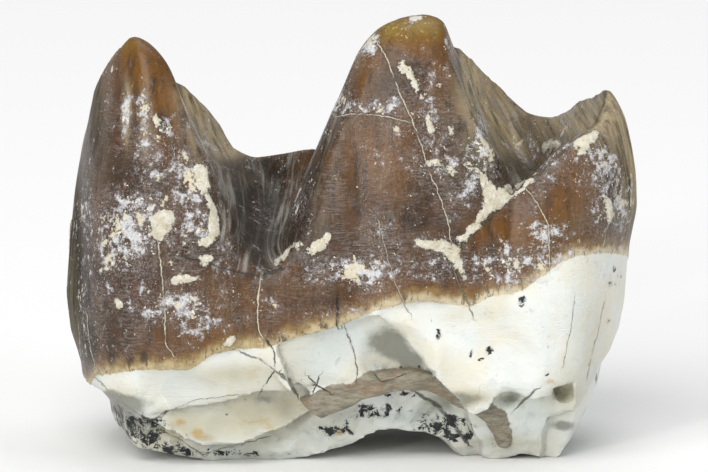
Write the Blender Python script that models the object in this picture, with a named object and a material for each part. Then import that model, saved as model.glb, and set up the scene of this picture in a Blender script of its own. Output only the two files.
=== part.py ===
"""Fossil lower cheek tooth of a running rhino, standing on the broken base of its roots.

X runs along the jaw, the lone cone at -X and the low front crest at +X.
-Y is the tongue side, which carries the three cones, and +Y the cheek side with its two rounded lobes.
Z runs up from the ground the broken base stands on.  Every length below is in millimetres.
"""
import bmesh
import bpy
import numpy as np

MM = 0.001
GRID_STEP = 0.3
GRID_MARGIN = 0.9
GRID_LIFT = 0.13
SWELL = 0.08
HALF_LENGTH = 11.2
HALF_DEPTH = 7.0
TOTAL_HEIGHT = 17.5
TRIANGLES = 9000

# Tips of the five cusps and the dip between them, each as (x, y, z, roundness)
LONE_TIP = (-8.85, -3.5, 16.4, 1.5)
MAIN_TIP = (2.4, -2.8, 17.05, 1.4)
FRONT_TIP = (9.75, -2.0, 14.1, 0.68)
CHEEK_FRONT_TIP = (3.3, 4.7, 15.0, 1.0)
CHEEK_BACK_TIP = (-8.0, 4.4, 13.6, 1.0)
CROSS_DIP = (2.5, 2.4, 14.3, 1.0)
JOINT = (-1.05, 2.6, 10.75, 0.8)
LONE_FOOT = (-5.0, -6.0, 8.0, 0.5)
MAIN_FOOT = (-2.0, -5.5, 8.7, 0.6)
NOTCH_FOOT = (6.1, -4.8, 10.3, 0.7)

# Ridge lines between those points, in the same form
LONE_EDGE = [
    LONE_TIP, (-8.45, -3.5, 16.38, 1.3), (-7.9, -3.6, 16.1, 1.1), (-7.4, -3.7, 15.6, 1.0),
    (-7.0, -3.8, 14.9, 1.0), (-6.6, -4.0, 13.85, 1.0), (-6.2, -4.3, 12.7, 1.0), (-5.7, -4.6, 12.0, 0.9),
    (-5.4, -4.9, 11.25, 0.8), (-5.15, -5.2, 10.3, 0.7), (-5.1, -5.5, 9.4, 0.6), (-5.2, -5.8, 8.45, 0.5),
    LONE_FOOT,
]
BACK_BASIN_LIP = [
    LONE_FOOT, (-4.6, -6.1, 7.85, 0.5), (-4.1, -6.1, 7.7, 0.5), (-3.5, -6.1, 7.6, 0.5),
    (-3.0, -6.0, 7.7, 0.5), (-2.6, -5.9, 8.1, 0.5), MAIN_FOOT,
]
MAIN_BACK_EDGE = [
    MAIN_FOOT, (-1.8, -5.3, 9.1, 0.7), (-1.4, -4.9, 10.2, 0.8), (-0.95, -4.6, 11.6, 0.9),
    (-0.7, -4.4, 12.6, 0.9), (-0.35, -4.0, 14.0, 1.0), (0.1, -3.4, 15.5, 1.1), (0.95, -3.0, 16.5, 1.3),
    (2.0, -2.9, 17.0, 1.4), MAIN_TIP,
]
MAIN_FRONT_EDGE = [
    MAIN_TIP, (2.8, -2.8, 17.05, 1.4), (3.35, -2.8, 16.8, 1.4), (3.65, -2.9, 16.2, 1.4),
    (3.95, -3.2, 14.9, 1.3), (4.2, -3.5, 13.95, 1.2), (4.65, -3.8, 13.0, 1.0), (5.2, -4.1, 12.3, 1.0),
    (5.8, -4.3, 11.5, 0.9), (6.1, -4.5, 10.8, 0.8), NOTCH_FOOT,
]
FRONT_EDGE = [
    NOTCH_FOOT, (6.45, -4.9, 10.65, 0.7), (7.0, -4.8, 11.25, 0.75), (7.6, -4.6, 11.9, 0.8),
    (8.25, -4.3, 12.4, 0.8), (9.05, -3.8, 12.85, 0.75), (9.5, -3.2, 13.1, 0.7), (9.7, -2.6, 13.5, 0.7),
    FRONT_TIP,
]
FRONT_CREST = [
    FRONT_TIP, (9.5, -1.2, 13.8, 0.75), (9.15, -0.2, 13.4, 0.8), (8.8, 0.7, 13.2, 0.9),
    (8.55, 1.6, 12.8, 0.9), (7.9, 2.9, 12.15, 0.9), (7.3, 3.8, 11.95, 0.9), (6.7, 4.4, 12.0, 0.9),
    (6.25, 4.7, 12.2, 0.9), (5.45, 5.0, 13.0, 0.9), (4.65, 5.1, 14.0, 0.9), (4.15, 5.0, 14.6, 1.0),
    CHEEK_FRONT_TIP,
]
CROSS_CREST_OUTER = [CHEEK_FRONT_TIP, CROSS_DIP]
CROSS_CREST_INNER = [CROSS_DIP, (2.3, 0.0, 14.7, 1.1), MAIN_TIP]
JOINT_CREST = [CROSS_DIP, (0.5, 2.5, 12.0, 0.9), JOINT]
CHEEK_CREST = [
    JOINT, (-1.7, 3.1, 10.8, 0.9), (-2.4, 3.6, 10.6, 0.9), (-3.05, 4.1, 10.4, 0.9), (-3.6, 4.5, 10.25, 0.9),
    (-4.0, 4.7, 10.2, 0.8), (-4.6, 4.9, 10.4, 0.7), (-4.95, 5.0, 10.6, 0.7), (-5.2, 5.1, 10.95, 0.7),
    (-5.5, 5.2, 11.4, 0.7), (-5.65, 5.2, 11.75, 0.7), (-5.9, 5.2, 12.1, 0.8), (-6.35, 5.1, 12.6, 0.9),
    (-6.75, 5.0, 13.0, 1.0), (-7.1, 4.8, 13.2, 1.0), CHEEK_BACK_TIP,
]
BACK_CREST = [
    CHEEK_BACK_TIP, (-8.9, 2.5, 13.2, 1.0), (-9.2, 0.3, 13.2, 1.0), (-9.0, -1.8, 14.3, 1.0),
    (-9.05, -3.0, 15.9, 1.1), LONE_TIP,
]

# The ridges around each basin, in order, and the ones that are walked backwards
BACK_BASIN_RIDGES = [
    (LONE_EDGE, 1), (BACK_BASIN_LIP, 1), (MAIN_BACK_EDGE, 1), (CROSS_CREST_INNER, -1), (JOINT_CREST, 1),
    (CHEEK_CREST, 1), (BACK_CREST, 1),
]
FRONT_BASIN_RIDGES = [
    (MAIN_FRONT_EDGE, 1), (FRONT_EDGE, 1), (FRONT_CREST, 1), (CROSS_CREST_OUTER, 1), (CROSS_CREST_INNER, 1),
]

# Widest outline of the tooth in plan
OUTLINE = [
    (-11.0, 0.0), (-10.6, -3.2), (-9.6, -5.2), (-8.0, -6.25), (-6.2, -6.4), (-4.7, -6.25), (-3.5, -6.1),
    (-2.4, -6.25), (-0.6, -6.6), (1.4, -6.8), (3.1, -6.5), (4.3, -6.15), (5.6, -6.35), (7.5, -6.2),
    (9.3, -5.2), (10.5, -3.2), (11.0, -0.8), (10.7, 1.8), (9.4, 4.4), (7.2, 6.0), (4.8, 6.7), (2.6, 6.5),
    (0.9, 5.5), (-0.6, 4.6), (-2.3, 5.3), (-4.4, 6.4), (-6.6, 6.7), (-8.8, 5.9), (-10.3, 3.8),
]

# How far each side stands in from that outline, as (height, inset)
BACK_END = [
    (0, 2.5), (0.73, 2.2), (1.05, 1.85), (1.43, 1.7), (1.95, 1.6), (2.25, 1.35), (2.66, 0.95), (2.8, 0.6),
    (3.3, 0.55), (4, 0.35), (4.6, 0.15), (6, 0), (8, 0.13), (10, 0.33), (12, 0.6), (14, 0.95), (16, 1.5),
    (17, 2), (18, 3),
]
FRONT_END = [
    (0, 2.9), (0.65, 2.5), (1.5, 2.1), (2.1, 1.85), (2.6, 1.6), (3.4, 1.45), (3.85, 1.13), (4.7, 0.8),
    (5.7, 0.6), (7.1, 0.5), (7.9, 0.45), (8.8, 0.25), (9.55, 0.05), (11, 0), (12, 0.15), (13, 0.4),
    (14, 0.9), (18, 3),
]
TONGUE_SIDE = [
    (0, 0.9), (1.5, 0.6), (3, 0.35), (4.5, 0.15), (6, 0.03), (7, 0), (8, 0.1), (10, 0.25), (12, 0.5), (18, 2),
]
CHEEK_SIDE = [(0, 1.0), (2, 0.55), (4, 0.1), (6, 0), (8, 0.2), (10, 0.5), (12, 0.9), (14, 1.4), (18, 3)]

# Height of the broken underside along the tooth, as (x, height), and the two hollows in it,
# as (x, y, half length, half depth, rise)
UNDERSIDE = [
    (-11, 2.0), (-9.2, 1.05), (-8.75, 0.75), (-8, 0.5), (-7.2, 0.3), (-6.5, 0.2), (-5.9, 0.05), (-5.5, 0),
    (-3.4, 0), (-3, 0.05), (-2, 0.25), (-1, 0.5), (-0.4, 0.65), (0, 0.95), (0.7, 1.15), (1.4, 1.27),
    (2, 1.15), (2.6, 1.15), (3.2, 0.9), (3.65, 0.6), (4, 0.25), (4.3, 0), (5.3, 0), (5.8, 0.2), (6.2, 0.33),
    (6.8, 0.2),
    (7.1, 0), (7.6, 0), (7.9, 0.2), (8.5, 0.65), (11, 2.5),
]
HOLLOWS = [(-4.9, 0.3, 2.2, 1.7, 0.9), (5.4, 0.2, 2.2, 1.8, 0.8)]
FLAT_BELOW = 0.12

# Flakes broken off the base.  Each has a side (-1 tongue, 1 cheek), an outline in (x, z),
# its floor as (depth, height, lean, turn, x) and the slant of its edges.
FLAKES = [
    (-1, [(-11.6, 3.75), (-9.9, 3.75), (-8.0, 3.95), (-6.35, 3.95), (-5.4, 4.5), (-4.4, 4.75), (-3.6, 4.75),
          (-2.9, 3.6), (-2.4, 3.1), (-2.4, -1), (-11.6, -1)],
     (6.02, 4.1, 0.2, -0.03, -6.5), 0.3),
    (-1, [(-11.6, 3.1), (-10.2, 3.2), (-9.3, 2.7), (-8.7, 2.4), (-8.15, 2.15), (-7.3, 2.2), (-6.2, 2.45),
          (-4.5, 2.8), (-4.25, 3.0), (-2.55, 3.05), (-2.1, 3.3), (-1.75, 2.9), (-1.2, 2.2), (-0.6, 1.7),
          (0.2, 1.0), (0.2, -1), (-11.6, -1)],
     (5.1, 2.8, -0.2, -0.12, -5.5), 0.0),
    (-1, [(-11.6, 2.6), (-9.4, 2.3), (-8.5, 1.95), (-7.6, 1.65), (-6.7, 1.1), (-5.7, 0.62), (-4.2, 0.85),
          (-2.7, 1.35), (-1.5, 2.05), (-0.6, 2.3), (0.0, 2.6), (0.85, 2.9), (1.8, 3.05), (2.75, 2.95),
          (3.5, 2.65), (4.2, 2.35), (4.6, 1.2), (5.0, 0.6), (5.0, -1), (-11.6, -1)],
     (3.95, 1.3, 0.25, -0.08, -2.0), 0.1),
    (-1, [(-2.95, 4.9), (-2.0, 5.3), (-0.4, 5.8), (0.9, 6.15), (1.1, 6.0), (1.65, 5.45), (2.4, 4.6),
          (2.95, 3.85), (3.5, 3.2), (4.3, 2.6), (3.5, 2.6), (2.75, 2.85), (1.8, 2.9), (0.85, 2.7),
          (0.0, 2.35), (-0.6, 2.0), (-1.4, 1.55), (-1.95, 2.1), (-2.0, 2.75), (-2.5, 3.4)],
     (5.55, 5.0, 0.32, -0.09, 0.0), 0.0),
    (-1, [(1.1, 6.35), (2.8, 6.65), (4.5, 6.45), (6.5, 7.0), (7.2, 7.6), (8.0, 8.2), (9.5, 8.4), (10.4, 7.7),
          (11.6, 7.7), (11.6, -1), (1.1, -1)],
     (6.3, 7.0, 0.06, 0.0, 0.0), 0.4),
    (-1, [(2.5, 3.4), (3.5, 2.8), (4.1, 2.35), (4.65, 2.15), (5.2, 2.4), (5.4, 2.85), (5.75, 3.1),
          (6.2, 3.05), (6.8, 2.8), (7.6, 2.85), (8.3, 3.1), (8.6, 2.7), (9.0, 2.3), (11.6, 2.5), (11.6, -1),
          (2.5, -1)],
     (5.0, 2.9, 0.5, 0.06, 6.0), 0.0),
    (-1, [(7.5, 1.75), (8.3, 2.05), (8.8, 1.7), (9.2, 1.1), (9.2, -1), (7.0, -1), (7.2, 0.6)],
     (3.9, 1.6, 0.5, 0.1, 8.0), 0.1),
    (-1, [(7.6, 3.2), (8.35, 3.25), (8.5, 2.6), (8.1, 2.4), (7.7, 2.6)], (4.7, 3.0, 0.2, 0.2, 8.0), 0.0),
    (1, [(-11.6, 3.5), (-8.4, 3.9), (-6.2, 3.3), (-4.4, 3.6), (-2.6, 2.9), (-1.4, 2.0), (-1.2, -1),
         (-11.6, -1)],
     (5.7, 3.4, 0.2, 0.05, -6.0), 0.1),
    (1, [(-9.0, 1.8), (-6.8, 2.1), (-4.6, 1.5), (-2.6, 1.7), (-1.4, 1.0), (-1.2, -1), (-10.0, -1)],
     (4.7, 1.6, 0.2, 0.0, 0.0), 0.05),
    (1, [(0.6, 2.4), (2.0, 3.5), (4.2, 3.0), (6.0, 3.8), (7.6, 3.3), (11.6, 4.0), (11.6, -1), (0.6, -1)],
     (5.6, 3.2, 0.25, -0.06, 5.0), 0.1),
    (1, [(2.2, 1.3), (4.0, 1.9), (5.6, 1.4), (7.4, 1.9), (11.6, 1.5), (11.6, -1), (1.6, -1)],
     (4.7, 1.5, 0.15, 0.0, 0.0), 0.05),
]
FLAKE_TOP = 9.0

# Scoops in the broken face of the tongue side, as (x, z, half length, half height, depth)
SCOOPS = [
    (1.7, 4.35, 1.5, 1.5, 0.55), (-2.8, 2.2, 1.6, 0.9, 0.35), (-7.0, 3.2, 1.7, 0.7, 0.12),
    (5.9, 2.75, 0.6, 0.5, 0.3), (8.0, 2.9, 0.6, 0.4, 0.35), (-0.9, 4.4, 1.2, 0.8, 0.12),
    (6.0, 4.6, 2.4, 1.2, 0.1),
]

# The brown strip that shows in the broken base: its path as (x, z, depth of its face, half its height),
# and the break across its end as (x, z) and the direction it faces
STRIP = [
    (-2.5, 1.75, 5.25, 0.5), (-1.62, 2.18, 5.25, 0.5), (-0.91, 2.55, 5.2, 0.5), (0.06, 3.0, 5.15, 0.5),
    (1.1, 3.22, 5.1, 0.46), (2.0, 3.36, 5.05, 0.38), (2.77, 3.3, 5.0, 0.34), (3.35, 3.0, 4.95, 0.34),
    (4.3, 2.5, 4.9, 0.34), (4.94, 2.25, 4.95, 0.4), (5.45, 1.9, 4.8, 0.4), (5.72, 1.2, 4.4, 0.34),
    (5.79, 0.75, 4.2, 0.28),
]
STRIP_END = (-1.96, 2.43, -0.646, -0.763)
STRIP_HALF_DEPTH = 1.1
STRIP_CORNER = 0.15

# Waves that keep the broken faces from running straight, as (length of wave, height of wave, phase)
UNDERSIDE_WAVES = [(7.0, 0.3, 2.6), (2.9, 0.12, 0.4)]
FLAKE_WAVES = [(4.7, 0.12, 0.9), (2.3, 0.06, 2.2)]

# How far the joins between faces are rounded
CUSP_ROUNDING = 0.35
BASIN_ROUNDING = 0.5
CREST_ROUNDING = 0.12
FLAKE_ROUNDING = 0.2
FLAKE_RIM_ROUNDING = 0.12
STRIP_ROUNDING = 0.08
GROUND_ROUNDING = 0.05

# Floors of the two basins, as (lowest height, rise toward the cheek, x of the lowest line, its turn,
# y it turns about, slope of the side toward -X, slope of the side toward +X, softness)
BACK_BASIN = (7.5, 0.13, -2.9, -0.05, -2.0, 0.92, 1.3, 0.8)
FRONT_BASIN = (9.7, 0.08, 6.4, 0.08, -4.0, 1.25, 1.0, 0.6)
BACK_BASIN_LIP_Y = -6.0
FRONT_BASIN_LIP_Y = -5.0
BACK_BASIN_CURL = 0.035
BACK_BASIN_CURL_Y = -1.0

# Slopes of the ridges and basins
CREST_LIFT = 0.33
RIDGE_SLOPE = 2.4
CAP_SLOPE = 1.2
CUT_SLOPE = 2.5
JOIN_SLOPE = 3.0
CROWN_SLOPE = 0.35
CROWN_CURVE = 0.5
STEEPEST_SLOPE = 5.0

# Pieces that each ridge and the outline are drawn with between two of their points
RIDGE_STEPS = 4
OUTLINE_STEPS = 12

# Values that stand for far away and for almost nothing
FAR = 99.0
TINY = 1e-6
JUST_INSIDE = -0.01

SMOOTHING = 0.5
SMOOTHING_ROUNDS = 2
ENAMEL_BROWN = (0.16, 0.075, 0.035, 1.0)
ENAMEL_ROUGHNESS = 0.35


def soft_max(a, b, width):
    share = np.clip(0.5 + 0.5 * (a - b) / width, 0, 1)
    return b + (a - b) * share + width * share * (1 - share)


def soft_min(a, b, width):
    return -soft_max(-a, -b, width)


def curve(points, steps, closed):
    """Smooth curve through the given points."""
    p = np.array(points, float)
    if closed:
        p = np.vstack([p[-1:], p, p[:2]])
    else:
        p = np.vstack([2 * p[0] - p[1], p, 2 * p[-1] - p[-2]])
    found = []
    for a, b, c, d in zip(p[:-3], p[1:-2], p[2:-1], p[3:]):
        for t in np.arange(steps) / steps:
            bend = (2 * a - 5 * b + 4 * c - d) * t ** 2 + (3 * b - a - 3 * c + d) * t ** 3
            found.append(b + 0.5 * ((c - a) * t + bend))
    found.append(p[-2])
    return np.array(found)


def nearest(x, y, a, b):
    """Distance to the segment a-b, and how far along it the nearest point lies."""
    dx = b[0] - a[0]
    dy = b[1] - a[1]
    share = np.clip(((x - a[0]) * dx + (y - a[1]) * dy) / (dx * dx + dy * dy + TINY), 0, 1)
    return np.hypot(x - a[0] - share * dx, y - a[1] - share * dy), share


def inside(x, y, loop):
    hit = np.zeros(x.shape, bool)
    for a, b in zip(loop, np.roll(loop, -1, axis=0)):
        if a[1] != b[1]:
            between = (a[1] > y) != (b[1] > y)
            hit ^= between & (x < (b[0] - a[0]) * (y - a[1]) / (b[1] - a[1]) + a[0])
    return hit


def signed_distance(x, y, loop):
    """Distance to a closed outline, negative inside it."""
    distance = np.full(x.shape, FAR)
    for a, b in zip(loop, np.roll(loop, -1, axis=0)):
        distance = np.minimum(distance, nearest(x, y, a, b)[0])
    return np.where(inside(x, y, loop), -distance, distance)


def read_profile(value, points):
    table = np.array(points, float)
    return np.interp(value, table[:, 0], table[:, 1])


def trough(across, left_slope, right_slope, softness):
    slope = np.where(across < 0, left_slope, right_slope)
    return slope * (np.sqrt(across ** 2 + softness ** 2) - softness)


def basin_floor(x, y, basin, lip):
    """Floor of a basin that rises away from its open lip on the tongue side."""
    lowest, rise, middle, turn, turn_y, back_slope, front_slope, softness = basin
    across = x - middle - turn * (y - turn_y)
    return lowest + rise * (y - lip) + trough(across, back_slope, front_slope, softness)


def chewing_surface(x, y):
    """Height of the cusps, ridges and basins over each point of the plan."""
    curl = BACK_BASIN_CURL * np.maximum(0, y - BACK_BASIN_CURL_Y) ** 2
    back_floor = basin_floor(x, y, BACK_BASIN, BACK_BASIN_LIP_Y) + curl
    front_floor = basin_floor(x, y, FRONT_BASIN, FRONT_BASIN_LIP_Y)
    outer = np.full(x.shape, -FAR)
    cut = np.full(x.shape, FAR)
    basins = []
    for ridges, floor in ((BACK_BASIN_RIDGES, back_floor), (FRONT_BASIN_RIDGES, front_floor)):
        loop = np.vstack([curve(points, RIDGE_STEPS, False)[::way] for points, way in ridges])
        ridge = np.full(x.shape, -FAR)
        cap = np.full(x.shape, FAR)
        distance = np.full(x.shape, FAR)
        for a, b in zip(loop[:-1], loop[1:]):
            away, share = nearest(x, y, a, b)
            crest = a[2] + (b[2] - a[2]) * share + CREST_LIFT
            across = away / (a[3] + (b[3] - a[3]) * share)
            outer = np.maximum(outer, crest - CROWN_SLOPE * across - CROWN_CURVE * across ** 3)
            ridge = np.maximum(ridge, crest - RIDGE_SLOPE * away)
            cap = np.minimum(cap, crest + CAP_SLOPE * away)
            distance = np.minimum(distance, away)
        basin = soft_max(ridge, np.minimum(floor, cap), BASIN_ROUNDING)
        basin = np.minimum(basin, ridge + JOIN_SLOPE * distance)
        cut = np.minimum(cut, ridge + CUT_SLOPE * distance)
        basins.append((inside(x, y, loop), basin))
    height = soft_min(outer, cut, CREST_ROUNDING)
    for within, basin in basins:
        height = np.where(within, basin, height)
    return height


def wave(value, waves):
    return sum(height * np.sin(2 * np.pi * value / length + phase) for length, height, phase in waves)


def scoops(x, z):
    """Depth of the scoops in the broken face."""
    depth = 0.0
    for middle_x, middle_z, half_x, half_z, sink in SCOOPS:
        near = 1 - ((x - middle_x) / half_x) ** 2 - ((z - middle_z) / half_z) ** 2
        depth = depth + sink * np.maximum(near, 0)
    return depth


def flake(x, y, z, side, corners, floor, slant):
    """Negative inside the piece of the base that broke away."""
    depth, height, lean, turn, middle = floor
    out = side * y + wave(x - side * z, FLAKE_WAVES)
    if side < 0:
        out = out + scoops(x, z)
    rim = signed_distance(x, z, np.array(corners, float)) + slant * (depth - out)
    bottom = (depth - lean * (height - z) + turn * (x - middle) - out) / np.sqrt(1 + lean ** 2)
    return soft_max(rim, bottom, FLAKE_ROUNDING)


def strip(x, y, z):
    """Signed distance to the brown strip, negative inside it."""
    distance = np.full(x.shape, FAR)
    for a, b in zip(STRIP[:-1], STRIP[1:]):
        away, share = nearest(x, z, a, b)
        depth = a[2] + (b[2] - a[2]) * share
        half_height = a[3] + (b[3] - a[3]) * share
        over = np.maximum(away - half_height + STRIP_CORNER, 0)
        beyond = np.maximum(np.abs(y + depth - STRIP_HALF_DEPTH) - STRIP_HALF_DEPTH + STRIP_CORNER, 0)
        distance = np.minimum(distance, np.hypot(over, beyond) - STRIP_CORNER)
    end_x, end_z, facing_x, facing_z = STRIP_END
    return np.maximum(distance, (x - end_x) * facing_x + (z - end_z) * facing_z)


def tooth_field(xs, ys, zs):
    """Signed field of the whole tooth on a grid, negative inside."""
    x, y = np.meshgrid(xs, ys, indexing="ij")
    top = chewing_surface(x, y)
    slope_x, slope_y = np.gradient(top, GRID_STEP)
    steepness = np.sqrt(1 + np.minimum(slope_x ** 2 + slope_y ** 2, STEEPEST_SLOPE ** 2))
    rim = signed_distance(x, y, curve(OUTLINE, OUTLINE_STEPS, True)[:-1])
    out_x, out_y = np.gradient(rim, GRID_STEP)
    length = np.hypot(out_x, out_y) + TINY
    out_x = out_x / length
    out_y = out_y / length
    sides = [(np.maximum(0, -out_x) ** 2, BACK_END), (np.maximum(0, out_x) ** 2, FRONT_END),
             (np.maximum(0, -out_y) ** 2, TONGUE_SIDE), (np.maximum(0, out_y) ** 2, CHEEK_SIDE)]
    ground = read_profile(x + wave(y, UNDERSIDE_WAVES), UNDERSIDE)
    for middle_x, middle_y, half_x, half_y, rise in HOLLOWS:
        ground = ground + rise * np.exp(-((x - middle_x) / half_x) ** 2 - ((y - middle_y) / half_y) ** 2)
    ground = np.maximum(0, ground - FLAT_BELOW)
    layers = []
    for z in zs:
        wall = rim - SWELL + sum(share * read_profile(z, inset) for share, inset in sides)
        solid = soft_max(wall, (z - top) / steepness, CUSP_ROUNDING)
        solid = soft_max(solid, ground - z, GROUND_ROUNDING)
        if z < FLAKE_TOP:
            level = np.full_like(x, z)
            for side, corners, floor, slant in FLAKES:
                solid = soft_max(solid, -flake(x, y, level, side, corners, floor, slant), FLAKE_RIM_ROUNDING)
            band = soft_max(strip(x, y, level), ground - z, GROUND_ROUNDING)
            solid = soft_min(solid, band, STRIP_ROUNDING)
        layers.append(solid)
    return np.stack(layers, axis=2)


def soften(field):
    """Average each sample with its neighbours, which takes the steps off the sharp ridges."""
    for axis in range(3):
        padded = np.pad(field, [(1, 1) if other == axis else (0, 0) for other in range(3)], mode="edge")
        padded = np.moveaxis(padded, axis, 0)
        field = np.moveaxis((padded[:-2] + 2 * padded[1:-1] + padded[2:]) / 4, 0, axis)
    return field.copy()


def part_diagonals(field):
    """Fill the samples that touch only corner to corner, so that each edge of the skin has two faces."""
    changed = True
    while changed:
        changed = False
        for first, second in ((0, 1), (0, 2), (1, 2)):
            f = np.moveaxis(field, (first, second), (0, 1))
            a, b, c, d = f[:-1, :-1], f[1:, :-1], f[1:, 1:], f[:-1, 1:]
            for near, far, other, opposite in ((a, c, b, d), (b, d, a, c)):
                crossed = (near < 0) & (far < 0) & (other >= 0) & (opposite >= 0)
                other[crossed] = JUST_INSIDE
                changed = changed or crossed.any()
    return field


def skin(field, origin, step):
    """Points and four-sided faces of the closed surface where the field is zero."""
    cells = tuple(n - 1 for n in field.shape)
    total = np.zeros(cells + (3,))
    count = np.zeros(cells)
    for axis in range(3):
        others = [other for other in range(3) if other != axis]
        for corner in ((0, 0), (0, 1), (1, 0), (1, 1)):
            low = [slice(0, -1)] * 3
            high = [slice(1, None)] * 3
            for other, offset in zip(others, corner):
                low[other] = high[other] = slice(offset, field.shape[other] - 1 + offset)
            start = field[tuple(low)]
            end = field[tuple(high)]
            crossed = (start < 0) != (end < 0)
            total[..., axis] += np.where(crossed, start / np.where(crossed, start - end, 1), 0)
            for other, offset in zip(others, corner):
                total[..., other] += crossed * offset
            count += crossed
    used = count > 0
    index = np.full(cells, -1)
    index[used] = np.arange(used.sum())
    points = (np.argwhere(used) + total[used] / count[used][:, None]) * step + origin
    faces = []
    for axis in range(3):
        low = [slice(1, -1)] * 3
        high = [slice(1, -1)] * 3
        low[axis] = slice(0, -1)
        high[axis] = slice(1, None)
        start = field[tuple(low)] < 0
        end = field[tuple(high)] < 0
        side_a, side_b = np.eye(3, dtype=int)[[other for other in range(3) if other != axis]]
        for outward, crossed in ((axis != 1, start & ~end), (axis == 1, ~start & end)):
            cell = np.argwhere(crossed) + side_a + side_b
            corners = [cell - side_a - side_b, cell - side_b, cell, cell - side_a]
            ring = np.stack([index[tuple(corner.T)] for corner in corners], axis=1)
            faces.append(ring if outward else ring[:, ::-1])
    return points, np.concatenate(faces)


def clear_scene():
    for old in list(bpy.data.objects):
        bpy.data.objects.remove(old, do_unlink=True)


def make_material():
    material = bpy.data.materials.new("brown_enamel")
    material.use_nodes = True
    surface = material.node_tree.nodes["Principled BSDF"]
    surface.inputs["Base Color"].default_value = ENAMEL_BROWN
    surface.inputs["Roughness"].default_value = ENAMEL_ROUGHNESS
    surface.inputs["Metallic"].default_value = 0.0
    return material


def make_tooth():
    xs = np.arange(-HALF_LENGTH - GRID_MARGIN, HALF_LENGTH + GRID_MARGIN, GRID_STEP)
    ys = np.arange(-HALF_DEPTH - GRID_MARGIN, HALF_DEPTH + GRID_MARGIN, GRID_STEP)
    zs = np.arange(GRID_LIFT - GRID_MARGIN, TOTAL_HEIGHT + GRID_MARGIN, GRID_STEP)
    field = part_diagonals(soften(tooth_field(xs, ys, zs)))
    points, faces = skin(field, np.array([xs[0], ys[0], zs[0]]), GRID_STEP)
    low = points.min(axis=0)
    high = points.max(axis=0)
    points -= ((low[0] + high[0]) / 2, (low[1] + high[1]) / 2, low[2])
    mesh = bpy.data.meshes.new("tooth")
    mesh.from_pydata((points * MM).tolist(), [], faces.tolist())
    tooth = bpy.data.objects.new("tooth", mesh)
    bpy.context.scene.collection.objects.link(tooth)
    even_out = tooth.modifiers.new("even_out", "SMOOTH")
    even_out.factor = SMOOTHING
    even_out.iterations = SMOOTHING_ROUNDS
    thin_out = tooth.modifiers.new("thin_out", "DECIMATE")
    thin_out.ratio = TRIANGLES / (2 * len(faces))
    return tooth


def settle(tooth):
    """Turn the thinned mesh into the tooth's own and press its feet flat on the ground."""
    graph = bpy.context.evaluated_depsgraph_get()
    thinned = bpy.data.meshes.new_from_object(tooth.evaluated_get(graph))
    tooth.modifiers.clear()
    tooth.data = thinned
    skin_mesh = bmesh.new()
    skin_mesh.from_mesh(thinned)
    for vertex in skin_mesh.verts:
        if vertex.co.z < FLAT_BELOW * MM:
            vertex.co.z = 0.0
    bmesh.ops.triangulate(skin_mesh, faces=skin_mesh.faces[:])
    bmesh.ops.recalc_face_normals(skin_mesh, faces=skin_mesh.faces[:])
    for face in skin_mesh.faces:
        face.smooth = True
    skin_mesh.to_mesh(thinned)
    skin_mesh.free()


clear_scene()
tooth = make_tooth()
settle(tooth)
tooth.data.materials.append(make_material())
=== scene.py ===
"""Fossil lower cheek tooth of a running rhino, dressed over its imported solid.

The tooth is one skin, drawn round a signed field that is worked out here on a fine grid.
Lengths are in millimetres until the mesh is made.  Marks that the photo shows are placed
by their pixels in it, on the parts of the skin that the photo's camera sees.
"""
import math

import bpy
import numpy as np
from mathutils import Matrix, Vector
from mathutils.bvhtree import BVHTree


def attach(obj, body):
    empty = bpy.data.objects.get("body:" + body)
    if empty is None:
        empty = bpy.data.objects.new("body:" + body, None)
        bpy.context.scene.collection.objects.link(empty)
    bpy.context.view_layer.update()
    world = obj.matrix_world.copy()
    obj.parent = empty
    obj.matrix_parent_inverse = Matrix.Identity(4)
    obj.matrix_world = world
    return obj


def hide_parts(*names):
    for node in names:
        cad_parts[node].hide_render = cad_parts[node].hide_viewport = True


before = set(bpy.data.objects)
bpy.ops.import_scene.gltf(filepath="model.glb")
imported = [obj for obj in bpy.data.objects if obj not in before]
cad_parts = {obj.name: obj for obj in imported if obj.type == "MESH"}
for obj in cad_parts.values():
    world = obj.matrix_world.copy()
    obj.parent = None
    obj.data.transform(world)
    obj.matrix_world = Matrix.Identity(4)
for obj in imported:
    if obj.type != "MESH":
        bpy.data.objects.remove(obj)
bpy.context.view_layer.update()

MM = 0.001
FAR = 99.0
NOT_NEAR = 9.0

# The grid that the field is worked out on, and how far the walls stand over their outline
GRID_STEP = 0.14
GRID_MARGIN = 0.6
GRID_LIFT = 0.06
HALF_LENGTH = 11.2
HALF_DEPTH = 7.0
TOTAL_HEIGHT = 17.5
SWELL = 0.06

# The photo: its scale, the pixels of the tooth's middle and of the ground, how far the feet
# stand under that line, and the camera's place
PIXELS_PER_MM = 25.8
MIDDLE_PIXEL = 353.5
GROUND_PIXEL = 457.0
GROUND_RISE = -0.61
PHOTO_WIDTH = 708
PHOTO_HEIGHT = 472
CAMERA_ELEVATION = math.radians(10)
CAMERA_DISTANCE = 0.6
VIEW_UP = (0.0, math.sin(CAMERA_ELEVATION), math.cos(CAMERA_ELEVATION))
SENSOR_MM = 36
NEAREST_SEEN = 0.01

# Tips of the five cusps and the dip between them, each as (x, y, z, roundness)
LONE_TIP = (-8.85, -3.5, 16.4, 1.5)
MAIN_TIP = (2.4, -2.8, 17.05, 1.4)
FRONT_TIP = (9.75, -2.0, 14.1, 0.68)
CHEEK_FRONT_TIP = (3.3, 4.7, 15.0, 1.0)
CHEEK_BACK_TIP = (-8.0, 4.4, 13.6, 1.0)
CROSS_DIP = (2.5, 2.4, 14.3, 1.0)
JOINT = (-1.05, 2.6, 10.75, 0.8)
LONE_FOOT = (-5.0, -6.0, 8.0, 0.5)
MAIN_FOOT = (-2.0, -5.5, 8.7, 0.6)
NOTCH_FOOT = (6.1, -4.8, 10.3, 0.7)

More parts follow.
